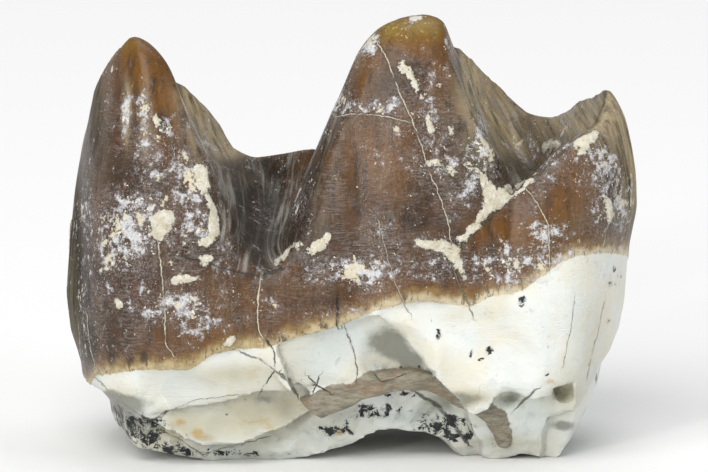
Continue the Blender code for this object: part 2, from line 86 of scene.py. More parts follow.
# Ridge lines between those points, in the same form
LONE_EDGE = [
    LONE_TIP, (-8.45, -3.5, 16.38, 1.3), (-7.9, -3.6, 16.1, 1.1), (-7.4, -3.7, 15.6, 1.0),
    (-7.0, -3.8, 14.9, 1.0), (-6.6, -4.0, 13.85, 1.0), (-6.2, -4.3, 12.7, 1.0), (-5.7, -4.6, 12.0, 0.9),
    (-5.4, -4.9, 11.25, 0.8), (-5.15, -5.2, 10.3, 0.7), (-5.1, -5.5, 9.4, 0.6), (-5.2, -5.8, 8.45, 0.5),
    LONE_FOOT,
]
BACK_BASIN_LIP = [
    LONE_FOOT, (-4.6, -6.1, 7.85, 0.5), (-4.1, -6.1, 7.7, 0.5), (-3.5, -6.1, 7.6, 0.5),
    (-3.0, -6.0, 7.7, 0.5), (-2.6, -5.9, 8.1, 0.5), MAIN_FOOT,
]
MAIN_BACK_EDGE = [
    MAIN_FOOT, (-1.8, -5.3, 9.1, 0.7), (-1.4, -4.9, 10.2, 0.8), (-0.95, -4.6, 11.6, 0.9),
    (-0.7, -4.4, 12.6, 0.9), (-0.35, -4.0, 14.0, 1.0), (0.1, -3.4, 15.5, 1.1), (0.95, -3.0, 16.5, 1.3),
    (2.0, -2.9, 17.0, 1.4), MAIN_TIP,
]
MAIN_FRONT_EDGE = [
    MAIN_TIP, (2.8, -2.8, 17.05, 1.4), (3.35, -2.8, 16.8, 1.4), (3.65, -2.9, 16.2, 1.4),
    (3.95, -3.2, 14.9, 1.3), (4.2, -3.5, 13.95, 1.2), (4.65, -3.8, 13.0, 1.0), (5.2, -4.1, 12.3, 1.0),
    (5.8, -4.3, 11.5, 0.9), (6.1, -4.5, 10.8, 0.8), NOTCH_FOOT,
]
FRONT_EDGE = [
    NOTCH_FOOT, (6.45, -4.9, 10.65, 0.7), (7.0, -4.8, 11.25, 0.75), (7.6, -4.6, 11.9, 0.8),
    (8.25, -4.3, 12.4, 0.8), (9.05, -3.8, 12.85, 0.75), (9.5, -3.2, 13.1, 0.7), (9.7, -2.6, 13.5, 0.7),
    FRONT_TIP,
]
FRONT_CREST = [
    FRONT_TIP, (9.5, -1.2, 13.8, 0.75), (9.15, -0.2, 13.4, 0.8), (8.8, 0.7, 13.2, 0.9),
    (8.55, 1.6, 12.8, 0.9), (7.9, 2.9, 12.15, 0.9), (7.3, 3.8, 11.95, 0.9), (6.7, 4.4, 12.0, 0.9),
    (6.25, 4.7, 12.2, 0.9), (5.45, 5.0, 13.0, 0.9), (4.65, 5.1, 14.0, 0.9), (4.15, 5.0, 14.6, 1.0),
    CHEEK_FRONT_TIP,
]
CROSS_CREST_OUTER = [CHEEK_FRONT_TIP, CROSS_DIP]
CROSS_CREST_INNER = [CROSS_DIP, (2.3, 0.0, 14.7, 1.1), MAIN_TIP]
JOINT_CREST = [CROSS_DIP, (0.5, 2.5, 12.0, 0.9), JOINT]
CHEEK_CREST = [
    JOINT, (-1.7, 3.1, 10.8, 0.9), (-2.4, 3.6, 10.6, 0.9), (-3.05, 4.1, 10.4, 0.9),
    (-3.6, 4.5, 10.25, 0.9), (-4.0, 4.7, 10.2, 0.8), (-4.6, 4.9, 10.4, 0.7), (-4.95, 5.0, 10.6, 0.7),
    (-5.2, 5.1, 10.95, 0.7), (-5.5, 5.2, 11.4, 0.7), (-5.65, 5.2, 11.75, 0.7), (-5.9, 5.2, 12.1, 0.8),
    (-6.35, 5.1, 12.6, 0.9), (-6.75, 5.0, 13.0, 1.0), (-7.1, 4.8, 13.2, 1.0), CHEEK_BACK_TIP,
]
BACK_CREST = [
    CHEEK_BACK_TIP, (-8.9, 2.5, 13.2, 1.0), (-9.2, 0.3, 13.2, 1.0), (-9.0, -1.8, 14.3, 1.0),
    (-9.05, -3.0, 15.9, 1.1), LONE_TIP,
]

# The ridges around each basin, in order, with -1 for the ones that are walked backwards
BACK_BASIN_RIDGES = [
    (LONE_EDGE, 1), (BACK_BASIN_LIP, 1), (MAIN_BACK_EDGE, 1), (CROSS_CREST_INNER, -1), (JOINT_CREST, 1),
    (CHEEK_CREST, 1), (BACK_CREST, 1),
]
FRONT_BASIN_RIDGES = [
    (MAIN_FRONT_EDGE, 1), (FRONT_EDGE, 1), (FRONT_CREST, 1), (CROSS_CREST_OUTER, 1),
    (CROSS_CREST_INNER, 1),
]

# Widest outline of the tooth in plan
OUTLINE = [
    (-11.0, 0.0), (-10.6, -3.2), (-9.6, -5.2), (-8.0, -6.25), (-6.2, -6.4), (-4.7, -6.25), (-3.5, -6.1),
    (-2.4, -6.25), (-0.6, -6.6), (1.4, -6.8), (3.1, -6.5), (4.3, -6.15), (5.6, -6.35), (7.5, -6.2),
    (9.3, -5.2), (10.5, -3.2), (11.0, -0.8), (10.7, 1.8), (9.4, 4.4), (7.2, 6.0), (4.8, 6.7), (2.6, 6.5),
    (0.9, 5.5), (-0.6, 4.6), (-2.3, 5.3), (-4.4, 6.4), (-6.6, 6.7), (-8.8, 5.9), (-10.3, 3.8),
]

# How far each side stands in from that outline, as (height, inset)
BACK_END = [
    (0, 2.5), (0.73, 2.2), (1.05, 1.85), (1.43, 1.7), (1.95, 1.6), (2.25, 1.35), (2.66, 0.95), (2.8, 0.6),
    (3.3, 0.55), (4, 0.35), (4.6, 0.15), (6, 0), (8, 0.13), (10, 0.33), (12, 0.6), (14, 0.95), (16, 1.5),
    (17, 2), (18, 3),
]
FRONT_END = [
    (0, 2.9), (0.65, 2.5), (1.5, 2.1), (2.1, 1.85), (2.6, 1.6), (3.4, 1.45), (3.85, 1.13), (4.7, 0.8),
    (5.7, 0.6), (7.1, 0.5), (7.9, 0.45), (8.8, 0.25), (9.55, 0.05), (11, 0), (12, 0.15), (13, 0.4),
    (14, 0.9), (18, 3),
]
TONGUE_SIDE = [
    (0, 0.9), (1.5, 0.6), (3, 0.35), (4.5, 0.15), (6, 0.03), (7, 0), (8, 0.1), (10, 0.25), (12, 0.5),
    (18, 2),
]
CHEEK_SIDE = [(0, 1.0), (2, 0.55), (4, 0.1), (6, 0), (8, 0.2), (10, 0.5), (12, 0.9), (14, 1.4), (18, 3)]

# Height of the broken underside along the tooth as (x, height), and the two hollows in it
# as (x, y, half length, half depth, rise); all of it is let down until the lowest parts are level feet
UNDERSIDE = [
    (-11, 2.0), (-9.2, 1.05), (-8.75, 0.75), (-8, 0.5), (-7.2, 0.3), (-6.5, 0.2), (-5.9, 0.05), (-5.5, 0),
    (-3.4, 0), (-3, 0.05), (-2, 0.25), (-1, 0.5), (-0.4, 0.65), (0, 0.95), (0.7, 1.15), (1.4, 1.27),
    (2, 1.15), (2.6, 1.15), (3.2, 0.9), (3.65, 0.6), (4, 0.25), (4.3, 0), (5.3, 0), (5.8, 0.2),
    (6.2, 0.33), (6.8, 0.2), (7.1, 0), (7.6, 0), (7.9, 0.2), (8.5, 0.65), (11, 2.5),
]
HOLLOWS = [(-4.9, 0.3, 2.2, 1.7, 0.9), (5.4, 0.2, 2.2, 1.8, 0.8)]
FLAT_BELOW = 0.12

# Edges sharper than this are shaded sharp
SHARP_ANGLE = math.radians(33)

# Flakes broken off the base.  Each has a side (-1 tongue, 1 cheek), an outline in (x, z),
# its floor as (depth, height, lean, turn, x), the slant of its edges
# and the height of the small breaks on it.
FLAKES = [
    (-1, [(-11.6, 3.75), (-9.9, 3.75), (-8.0, 3.95), (-6.35, 3.95), (-5.4, 4.5), (-4.4, 4.75),
      (-3.6, 4.75), (-2.9, 3.6), (-2.4, 3.1), (-2.4, -1), (-11.6, -1)], (6.02, 4.1, 0.2, -0.03, -6.5),
     0.3, 0.02),
    (-1, [(-11.6, 3.1), (-10.2, 3.2), (-9.3, 2.7), (-8.7, 2.4), (-8.15, 2.15), (-7.3, 2.2), (-6.2, 2.45),
      (-4.5, 2.8), (-4.25, 3.0), (-2.55, 3.05), (-2.1, 3.3), (-1.75, 2.9), (-1.2, 2.2), (-0.6, 1.7),
      (0.2, 1.0), (0.2, -1), (-11.6, -1)], (5.1, 2.8, -0.2, -0.12, -5.5), 0.0, 0.12),
    (-1, [(-11.6, 2.6), (-9.4, 2.3), (-8.5, 1.95), (-7.6, 1.65), (-6.7, 1.1), (-5.7, 0.62), (-4.2, 0.85),
      (-2.7, 1.35), (-1.5, 2.05), (-0.6, 2.3), (0.0, 2.6), (0.85, 2.9), (1.8, 3.05), (2.75, 2.95),
      (3.5, 2.65), (4.2, 2.35), (4.6, 1.2), (5.0, 0.6), (5.0, -1), (-11.6, -1)],
     (3.95, 1.3, 0.25, -0.08, -2.0), 0.1, 0.4),
    (-1, [(-2.95, 4.9), (-2.0, 5.3), (-0.4, 5.8), (0.9, 6.15), (1.1, 6.0), (1.65, 5.45), (2.4, 4.6),
      (2.95, 3.85), (3.5, 3.2), (4.3, 2.6), (3.5, 2.6), (2.75, 2.85), (1.8, 2.9), (0.85, 2.7),
      (0.0, 2.35), (-0.6, 2.0), (-1.4, 1.55), (-1.95, 2.1), (-2.0, 2.75), (-2.5, 3.4)],
     (5.55, 5.0, 0.32, -0.09, 0.0), 0.0, 0.03),
    (-1, [(1.1, 6.35), (2.8, 6.65), (4.5, 6.45), (6.5, 7.0), (7.2, 7.6), (8.0, 8.2), (9.5, 8.4),
      (10.4, 7.7), (11.6, 7.7), (11.6, -1), (1.1, -1)], (6.3, 7.0, 0.06, 0.0, 0.0), 0.4, 0.015),
    (-1, [(2.5, 3.4), (3.5, 2.8), (4.1, 2.35), (4.65, 2.15), (5.2, 2.4), (5.4, 2.85), (5.75, 3.1),
      (6.2, 3.05), (6.8, 2.8), (7.6, 2.85), (8.3, 3.1), (8.6, 2.7), (9.0, 2.3), (11.6, 2.5), (11.6, -1),
      (2.5, -1)], (5.0, 2.9, 0.5, 0.06, 6.0), 0.0, 0.3),
    (-1, [(7.5, 1.75), (8.3, 2.05), (8.8, 1.7), (9.2, 1.1), (9.2, -1), (7.0, -1), (7.2, 0.6)],
     (3.9, 1.6, 0.5, 0.1, 8.0), 0.1, 0.08),
    (-1, [(7.6, 3.2), (8.35, 3.25), (8.5, 2.6), (8.1, 2.4), (7.7, 2.6)], (4.7, 3.0, 0.2, 0.2, 8.0), 0.0,
     0.05),
    (1, [(-11.6, 3.5), (-8.4, 3.9), (-6.2, 3.3), (-4.4, 3.6), (-2.6, 2.9), (-1.4, 2.0), (-1.2, -1),
      (-11.6, -1)], (5.7, 3.4, 0.2, 0.05, -6.0), 0.1, 0.06),
    (1, [(-9.0, 1.8), (-6.8, 2.1), (-4.6, 1.5), (-2.6, 1.7), (-1.4, 1.0), (-1.2, -1), (-10.0, -1)],
     (4.7, 1.6, 0.2, 0.0, 0.0), 0.05, 0.12),
    (1, [(0.6, 2.4), (2.0, 3.5), (4.2, 3.0), (6.0, 3.8), (7.6, 3.3), (11.6, 4.0), (11.6, -1), (0.6, -1)],
     (5.6, 3.2, 0.25, -0.06, 5.0), 0.1, 0.06),
    (1, [(2.2, 1.3), (4.0, 1.9), (5.6, 1.4), (7.4, 1.9), (11.6, 1.5), (11.6, -1), (1.6, -1)],
     (4.7, 1.5, 0.15, 0.0, 0.0), 0.05, 0.12),
]

# Scoops in the broken face of the tongue side, as (x, z, half length, half height, depth)
SCOOPS = [
    (1.7, 4.35, 1.5, 1.5, 0.55), (-2.8, 2.2, 1.6, 0.9, 0.35), (-7.0, 3.2, 1.7, 0.7, 0.12),
    (5.9, 2.75, 0.6, 0.5, 0.3), (8.0, 2.9, 0.6, 0.4, 0.35), (-0.9, 4.4, 1.2, 0.8, 0.12),
    (6.0, 4.6, 2.4, 1.2, 0.1),
]

# The brown strip that shows in the broken base: its path as (x, z, depth of its face, half its height),
# and the break across its end as (x, z) and its slope
STRIP = [
    (-2.5, 1.75, 5.25, 0.5), (-1.62, 2.18, 5.25, 0.5), (-0.91, 2.55, 5.2, 0.5), (0.06, 3.0, 5.15, 0.5),
    (1.1, 3.22, 5.1, 0.46), (2.0, 3.36, 5.05, 0.38), (2.77, 3.3, 5.0, 0.34), (3.35, 3.0, 4.95, 0.34),
    (4.3, 2.5, 4.9, 0.34), (4.94, 2.25, 4.95, 0.4), (5.45, 1.9, 4.8, 0.4), (5.72, 1.2, 4.4, 0.34),
    (5.79, 0.75, 4.2, 0.28),
]
STRIP_END = (-1.96, 2.43, -0.646, -0.763)
STRIP_HALF_DEPTH = 1.1
STRIP_CORNER = 0.1

# Waves that keep the broken faces from running straight, as (length of wave, height of wave, phase)
UNDERSIDE_WAVES = [(7.0, 0.3, 2.6), (2.9, 0.12, 0.4)]
FLAKE_WAVES = [(4.7, 0.12, 0.9), (2.3, 0.06, 2.2)]

# Slopes of the ridges and basins, how softly they run into each other,
# the largest squared slope that counts, and the steps of the curves between two points
CREST_LIFT = 0.22
CREST_FALL = 0.35
CREST_DROP = 0.5
RIDGE_SLOPE = 2.4
CAP_SLOPE = 1.2
CUT_SLOPE = 2.5
JOIN_SLOPE = 3.0
BASIN_BLEND = 0.5
CUT_BLEND = 0.12
WALL_BLEND = 0.35
STEEPEST = 25
RIDGE_STEPS = 4
OUTLINE_STEPS = 12

# Floors of the two basins: the line of their lowest points as (x, lean, y), the height along it
# as (height, slope, y), the slopes of the left and right side with the roundness between them,
# and how strongly the floor rises towards the cheek side
BACK_FLOOR = ((-2.9, -0.05, -2), (7.5, 0.13, -6), (0.92, 1.3, 0.8), 0.035)
FRONT_FLOOR = ((6.4, 0.08, -4), (9.7, 0.08, -5), (1.25, 1.0, 0.6), 0.0)
FLOOR_RISES_FROM = -1

# How the base is broken: the height that the breaks reach, how softly they meet,
# the waviness of their edges, the share of the small breaks, how far all of them sit down,
# and the distances from the strip over which they set in
BASE_TOP = 9
UNDER_BLEND = 0.05
FLAKE_BLEND = 0.06
ARRIS_BLEND = 0.03
UNDERSIDE_ROUGHNESS = 0.05
EDGE_BEND = 0.06
EDGE_BREAKS = 0.03
SMALL_BREAKS = 0.4
BREAKS_DOWN = 0.15
STRIP_ROUGHNESS = 0.05
STRIP_CALM = (0.4, 1.2)

# Lower edge of the enamel: on the tongue side by pixel, and on the cheek side as (x, height)
ENAMEL_EDGE_SEEN = [
    (60, 388), (84, 386), (92, 384), (98, 374), (147, 367), (190, 368), (197, 364), (215, 352),
    (240, 347), (268, 346), (290, 338), (300, 335), (337, 325), (375, 310), (400, 303), (425, 300),
    (445, 303), (470, 305), (490, 295), (520, 290), (540, 275), (560, 260), (575, 255), (600, 252),
    (640, 256),
]
ENAMEL_EDGE_BEHIND = [
    (-11, 3.0), (-9, 3.6), (-6.5, 3.5), (-4, 3.9), (-2, 4.6), (-0.4, 5.3), (1.5, 4.4), (3.5, 3.7),
    (6, 4.2), (8, 4.9), (9.5, 6.2), (11, 7.4),
]

# Sediment crust, as chains of (pixel across, pixel down, radius in pixels)
CRUST = [
    [(201, 172, 8), (204, 184, 7), (208, 198, 4), (213, 212, 5), (216, 226, 6), (211, 240, 6),
     (203, 241, 3)],
    [(160, 221, 8), (169, 216, 8), (162, 233, 7), (170, 228, 5)],
    [(197, 258, 2), (212, 257, 4), (206, 262, 3)],
    [(179, 279, 4), (191, 278, 4), (200, 276, 2)],
    [(121, 297, 2), (122, 305, 3)],
    [(108, 243, 3)],
    [(106, 270, 2.5), (111, 268, 2.5)],
    [(233, 337, 4), (229, 342, 4)],
    [(279, 262, 2.5), (290, 253, 3.5), (301, 243, 2)],
    [(312, 250, 4), (321, 243, 7), (330, 233, 3)],
    [(402, 68, 4), (408, 77, 4.5), (415, 90, 2.5), (420, 99, 2)],
    [(427, 119, 2.5), (431, 132, 2.5)],
    [(427, 162, 3), (440, 165, 3.5), (452, 172, 3.5)],
    [(482, 179, 4), (488, 190, 7), (490, 204, 8), (500, 197, 9), (512, 190, 7), (529, 180, 2)],
    [(482, 179, 3), (470, 168, 2.5), (461, 162, 2)],
    [(488, 208, 5), (476, 222, 4), (466, 233, 3), (461, 240, 4)],
    [(418, 242, 5), (431, 244, 5.5), (445, 246, 6), (455, 249, 4)],
    [(447, 251, 5), (456, 262, 5), (463, 276, 3)],
    [(546, 148, 4), (554, 143, 5), (561, 146, 2)],
    [(574, 146, 5), (584, 142, 6), (592, 136, 4), (578, 154, 4)],
    [(604, 200, 3), (608, 210, 4), (606, 220, 3)],
    [(449, 128, 2), (452, 135, 2)],
    [(158, 118, 2), (161, 128, 3)],
]

# Crust on the sides that the photo leaves out, as chains of (x, y, z, radius)
CRUST_BEHIND = [
    [(-0.8, 4.6, 9.4, 0.45), (-0.7, 4.8, 8.2, 0.6), (-0.9, 5.0, 7.0, 0.4)],
    [(5.6, 6.2, 8.3, 0.5), (6.6, 6.0, 7.8, 0.45)],
    [(-6.3, 6.3, 9.2, 0.4), (-5.5, 6.3, 8.6, 0.45)],
    [(2.6, 6.0, 10.9, 0.35), (3.0, 6.0, 10.2, 0.3)],
    [(-8.6, 5.6, 6.4, 0.4)],
    [(10.6, 1.6, 8.6, 0.5), (10.4, 2.4, 7.8, 0.35)],
    [(-10.7, 1.2, 7.4, 0.5), (-10.6, 0.4, 8.4, 0.4)],
    [(-2.8, -0.6, 8.4, 0.5), (-2.9, 0.8, 8.7, 0.6), (-2.6, 2.0, 9.3, 0.4)],
    [(6.6, -1.2, 10.1, 0.4), (6.6, 0.4, 10.3, 0.5)],
]

# Soft spots on the seen side, as (pixel across, pixel down, half width, half height, strength),
# with the two halves in pixels too
AMBER_SPOTS = [
    (410, 36, 42, 26, 1.0), (133, 58, 26, 28, 0.9), (170, 110, 14, 34, 0.9), (150, 75, 20, 20, 0.6),
    (312, 158, 16, 7, 0.8), (158, 105, 18, 36, 0.6), (508, 232, 40, 26, 0.9), (572, 180, 24, 40, 0.5),
    (365, 150, 30, 38, 0.65), (395, 175, 18, 60, 0.45), (240, 300, 50, 26, 0.45),
    (305, 285, 60, 18, 0.35), (556, 208, 30, 24, 0.6), (362, 80, 12, 26, 0.6), (384, 76, 14, 30, 0.55),
    (440, 72, 14, 46, 0.55), (205, 335, 60, 14, 0.5), (100, 180, 20, 60, 0.2), (440, 290, 60, 16, 0.4),
    (300, 168, 22, 14, 0.5), (420, 255, 60, 30, 0.2),
]
YELLOW_SPOTS = [
    (390, 30, 16, 12, 0.9), (418, 28, 18, 12, 0.8), (436, 26, 10, 14, 0.5), (128, 46, 16, 8, 0.4),
]
# Dark spots: partly dark stains, partly painted shade in the valleys and hollows of the crown
DARK_AND_SHADE_SPOTS = [
    (91, 250, 9, 100, 0.6), (94, 345, 8, 34, 0.6), (165, 122, 8, 20, 0.6), (252, 222, 18, 40, 0.8),
    (272, 236, 14, 26, 0.6), (285, 172, 14, 10, 0.6), (245, 160, 26, 8, 0.5), (308, 210, 8, 44, 0.5),
    (115, 356, 5, 8, 1.1), (133, 357, 5, 8, 1.0), (147, 355, 5, 8, 1.1), (385, 80, 12, 26, 0.5),
    (505, 165, 22, 18, 0.6), (530, 165, 22, 14, 0.5), (190, 150, 14, 40, 0.3), (415, 215, 24, 30, 0.4),
    (395, 95, 8, 26, 0.4), (490, 245, 14, 12, 0.4), (80, 240, 9, 110, 0.5), (98, 120, 8, 50, 0.35),
]
# Pale olive-tan patches; the first two are a painted glint on the lone cone
PALE_AND_GLINT_SPOTS = [
    (130, 112, 4, 26, 1.0), (147, 122, 4, 30, 0.6), (630, 160, 12, 60, 0.8), (618, 120, 14, 34, 0.6),
    (594, 114, 22, 22, 0.9), (205, 110, 16, 36, 0.9), (575, 122, 30, 12, 0.8), (470, 70, 12, 34, 0.8),
    (352, 50, 12, 16, 0.4), (490, 110, 26, 34, 0.7), (520, 140, 30, 22, 0.5), (562, 125, 20, 10, 0.5),
    (193, 88, 12, 24, 1.1), (222, 140, 18, 16, 0.8), (232, 150, 20, 8, 0.6),
]
OLIVE_SPOTS = [
    (100, 110, 10, 60, 0.8), (76, 260, 11, 100, 1.2), (92, 345, 12, 30, 0.5), (628, 180, 14, 70, 0.8),
    (605, 150, 18, 40, 0.5), (340, 80, 8, 40, 0.5), (470, 150, 30, 50, 0.4), (250, 190, 30, 30, 0.5),
    (570, 225, 24, 26, 0.5), (320, 205, 8, 40, 0.5),
]
STAIN_SPOTS = [
    (198, 431, 10, 6, 0.9), (182, 420, 8, 5, 0.7), (340, 430, 9, 5, 0.9), (170, 425, 10, 5, 0.5),
    (210, 436, 10, 4, 0.6), (500, 437, 16, 4, 0.5), (548, 380, 10, 6, 0.6), (310, 415, 10, 5, 0.3),
]
# Bloom deposit; the third and fourth spots are a painted glint on the lone cone
DEPOSIT_AND_GLINT_SPOTS = [
    (140, 225, 50, 34, 0.75), (168, 130, 8, 10, 0.8), (147, 118, 5, 30, 0.8), (129, 114, 4, 24, 1.2),
    (195, 205, 26, 40, 0.6), (182, 305, 34, 16, 0.95), (215, 322, 28, 16, 0.5), (345, 268, 50, 13, 0.85),
    (360, 108, 36, 7, 1.2), (370, 44, 9, 12, 1.0), (414, 20, 7, 5, 0.9), (385, 22, 10, 4, 0.8),
    (447, 45, 5, 16, 0.9), (340, 90, 10, 30, 0.7), (432, 150, 26, 40, 0.5), (500, 265, 52, 13, 0.95),
    (606, 195, 22, 44, 0.7), (560, 150, 26, 18, 0.5), (88, 215, 10, 16, 0.6), (482, 160, 20, 26, 0.6),
    (100, 330, 14, 26, 0.35), (470, 190, 22, 18, 0.5), (545, 235, 14, 25, 0.6), (235, 150, 26, 10, 0.5),
    (480, 130, 8, 36, 0.6), (206, 128, 5, 30, 0.4), (300, 200, 8, 30, 0.3), (380, 232, 20, 16, 0.4),
    (590, 160, 20, 20, 0.5), (430, 95, 10, 30, 0.4), (240, 300, 30, 8, 0.3), (120, 262, 34, 30, 0.45),
    (395, 275, 30, 14, 0.4), (440, 262, 14, 24, 0.4), (330, 312, 36, 8, 0.45), (515, 280, 44, 6, 0.7),
    (150, 160, 14, 30, 0.6), (620, 215, 10, 26, 0.6),
]
DENDRITE_SPOTS = [
    (140, 428, 30, 14, 1.0), (118, 412, 12, 14, 0.9), (190, 450, 40, 6, 0.6), (250, 452, 60, 6, 0.5),
    (330, 430, 30, 10, 0.7), (375, 410, 40, 10, 0.75), (440, 425, 30, 14, 0.95), (312, 384, 14, 6, 0.6),
    (410, 366, 26, 4, 0.5), (500, 390, 20, 10, 0.35), (519, 299, 6, 7, 0.8), (528, 310, 5, 4, 0.8),
    (612, 268, 3, 6, 0.8), (618, 275, 3, 5, 0.75), (609, 284, 5, 6, 0.85), (607, 320, 4, 5, 0.7),
    (438, 334, 4, 7, 0.75), (469, 352, 4, 5, 0.85), (487, 348, 5, 5, 0.8), (479, 359, 3, 3, 0.8),
    (431, 320, 3, 3, 0.7), (544, 372, 5, 3, 0.8), (546, 346, 3, 4, 0.65), (595, 378, 3, 9, 0.6),
    (598, 398, 4, 4, 0.8), (242, 398, 7, 4, 0.75), (228, 411, 4, 3, 0.7), (197, 399, 5, 3, 0.75),
    (492, 443, 6, 4, 0.7), (194, 362, 6, 3, 0.8), (150, 420, 14, 4, 0.8), (160, 444, 26, 7, 0.8),
    (400, 392, 26, 5, 0.7), (430, 372, 16, 3, 0.5), (460, 430, 14, 10, 0.9),
]
# Grey on the root: partly its own grey, partly painted shade in the hollow under the big right facet,
# under the ledge and below the strip
GREY_AND_SHADE_SPOTS = [
    (386, 340, 22, 20, 0.6), (396, 346, 12, 14, 0.6), (412, 360, 12, 10, 0.9), (428, 372, 10, 6, 0.8),
    (350, 340, 40, 18, 0.16), (508, 397, 14, 6, 0.5), (468, 398, 22, 6, 0.45), (562, 392, 14, 6, 0.3),
    (562, 424, 16, 7, 0.7), (270, 398, 40, 8, 0.45), (440, 400, 30, 14, 0.5), (320, 372, 12, 6, 0.3),
    (130, 400, 30, 8, 0.6), (400, 415, 60, 12, 0.4), (520, 405, 12, 12, 0.3), (112, 397, 14, 9, 1.0),
    (126, 405, 14, 7, 1.0), (140, 424, 34, 16, 0.6), (466, 394, 20, 8, 0.25),
]
FRESH_SPOTS = [
    (318, 355, 32, 24, 0.8), (358, 330, 30, 14, 0.6), (530, 415, 26, 32, 1.0), (400, 415, 60, 13, 0.8),
    (250, 452, 70, 8, 0.6), (320, 430, 40, 10, 0.7), (575, 330, 10, 60, 0.5), (180, 383, 50, 10, 0.3),
]
CREAM_SPOTS = [
    (235, 372, 44, 12, 0.8), (240, 420, 70, 22, 0.8), (190, 425, 30, 14, 0.7), (285, 400, 30, 12, 0.6),
    (480, 312, 50, 12, 0.3), (466, 395, 28, 8, 1.0), (562, 392, 12, 10, 1.0), (590, 340, 14, 40, 0.3),
    (130, 395, 30, 10, 0.4), (500, 440, 40, 8, 0.5),
]

# Everything that is laid on as soft spots, by the name of its attribute
SPOTS = {
    "amber": AMBER_SPOTS, "yellow": YELLOW_SPOTS, "dark": DARK_AND_SHADE_SPOTS, "pale": PALE_AND_GLINT_SPOTS,
    "olive": OLIVE_SPOTS, "deposit_and_glint": DEPOSIT_AND_GLINT_SPOTS, "dendrite": DENDRITE_SPOTS, "grey": GREY_AND_SHADE_SPOTS,
    "cream": CREAM_SPOTS, "stain": STAIN_SPOTS, "fresh": FRESH_SPOTS,
}

# How many times stronger some of them are laid on
SPOT_GAIN = {"dendrite": 1.6, "pale": 1.5, "deposit_and_glint": 1.3}

# Ridges by pixel, along which the streaks of the inner faces run
STREAK_RIDGES = [
    [(155, 53), (173, 77), (194, 135), (212, 168), (220, 200), (222, 225), (217, 262)],
    [(303, 243), (312, 200), (318, 160), (330, 120)],
    [(448, 40), (462, 100), (488, 145), (510, 185)],
]

# Cracks, as (points by pixel, half width, darkness); the pale ones are filled with sediment,
# and two dark ones are painted shadow lines, in a notch and under the back basin's lip.
# Cracks that cross those of the first list stand in the second.
CRACKS_AND_SHADOW_LINES = [
    ([(450, 240), (446, 219), (435, 187), (429, 175), (420, 145), (409, 115), (399, 95), (387, 61),
      (378, 46)], 0.022, 0.0),
    ([(176, 354), (168, 342), (167, 315), (165, 280), (161, 246), (160, 236)], 0.022, 0.0),
    ([(262, 390), (268, 380), (276, 368), (276, 357), (274, 346), (265, 336)], 0.026, 1.0),
    ([(265, 338), (259, 326), (259, 296), (262, 276)], 0.026, 0.0),
    ([(547, 266), (547, 242), (545, 223), (536, 204), (525, 190)], 0.02, 0.1),
    ([(408, 311), (397, 288), (391, 270), (387, 257), (383, 238), (378, 221)], 0.02, 0.3),
    ([(471, 312), (465, 299), (458, 284), (450, 263)], 0.022, 0.7),
    ([(337, 323), (338, 296)], 0.03, 1.0),
    ([(357, 373), (357, 368), (353, 347), (345, 326)], 0.02, 0.8),
    ([(600, 246), (603, 233), (606, 220)], 0.018, 0.2),
    ([(561, 362), (566, 340), (570, 318), (572, 300)], 0.011, 0.6),
    ([(98, 364), (92, 341), (89, 311)], 0.014, 0.1),
    ([(83, 357), (81, 322)], 0.012, 0.2),
    ([(98, 376), (112, 391), (127, 403), (144, 414)], 0.018, 0.5),
    ([(144, 414), (152, 419), (160, 417), (168, 409)], 0.05, 1.0),
    ([(172, 408), (185, 403), (197, 398), (238, 393)], 0.012, 0.5),
    ([(311, 377), (318, 384), (328, 390)], 0.026, 1.0),
    # Painted shadow in the deep notch at the strip's left end
    ([(284, 374), (291, 380), (296, 391)], 0.06, 0.9),
    ([(417, 392), (436, 403), (450, 420), (466, 440)], 0.06, 0.95),
    ([(516, 406), (524, 397), (534, 388)], 0.04, 0.9),
    ([(585, 378), (590, 350), (596, 330), (602, 300)], 0.012, 0.45),
    ([(160, 427), (182, 438), (203, 452)], 0.014, 0.6),
    ([(215, 449), (240, 443), (268, 435)], 0.014, 0.6),
]
CROSSING_CRACKS_AND_SHADOW_LINES = [
    ([(462, 243), (486, 219), (513, 196), (532, 181), (549, 162), (562, 152), (578, 137), (593, 126),
      (602, 105), (605, 88)], 0.02, 0.85),
    ([(336, 118), (352, 115), (372, 116), (392, 119), (407, 123)], 0.02, 0.0),
    # Painted shadow line under the lip of the back basin
    ([(188, 257), (206, 261), (232, 270), (262, 276), (283, 268)], 0.022, 0.95),
    ([(243, 351), (262, 358), (276, 369), (290, 381)], 0.028, 0.75),
    ([(313, 391), (320, 376)], 0.022, 1.0),
    ([(375, 373), (381, 380), (392, 378), (404, 372)], 0.018, 0.9),
]

# Cracks of the cheek side in the same form, with their points as (x, height)
CHEEK_CRACKS = [
    ([(5.2, 4.4), (5.0, 6.5), (5.4, 8.8), (5.1, 11.0)], 0.024, 0.1),
    ([(-5.6, 4.0), (-5.9, 6.0), (-5.5, 7.4)], 0.022, 0.0),
    ([(-1.1, 5.4), (-0.8, 7.0), (-0.95, 9.0)], 0.03, 0.9),
]

# Line by pixel along which the buttress of the front crest stands proud of the main cone's face
BUTTRESS_LINE = [(519, 186), (504, 204), (486, 219), (470, 233), (458, 248)]
BUTTRESS_STEP = 0.24
BUTTRESS_WIDTH = 0.9

# Chips along the ridges: their depth, the heights over which they set in, and the share of it
# that the lone cone has, which starts that far left of the middle
CHIP_DEPTH = 0.14
CHIPS_FROM = (11.5, 13.0)
LONE_CHIPS = 0.2
LONE_CONE = (7.4, 8.0)

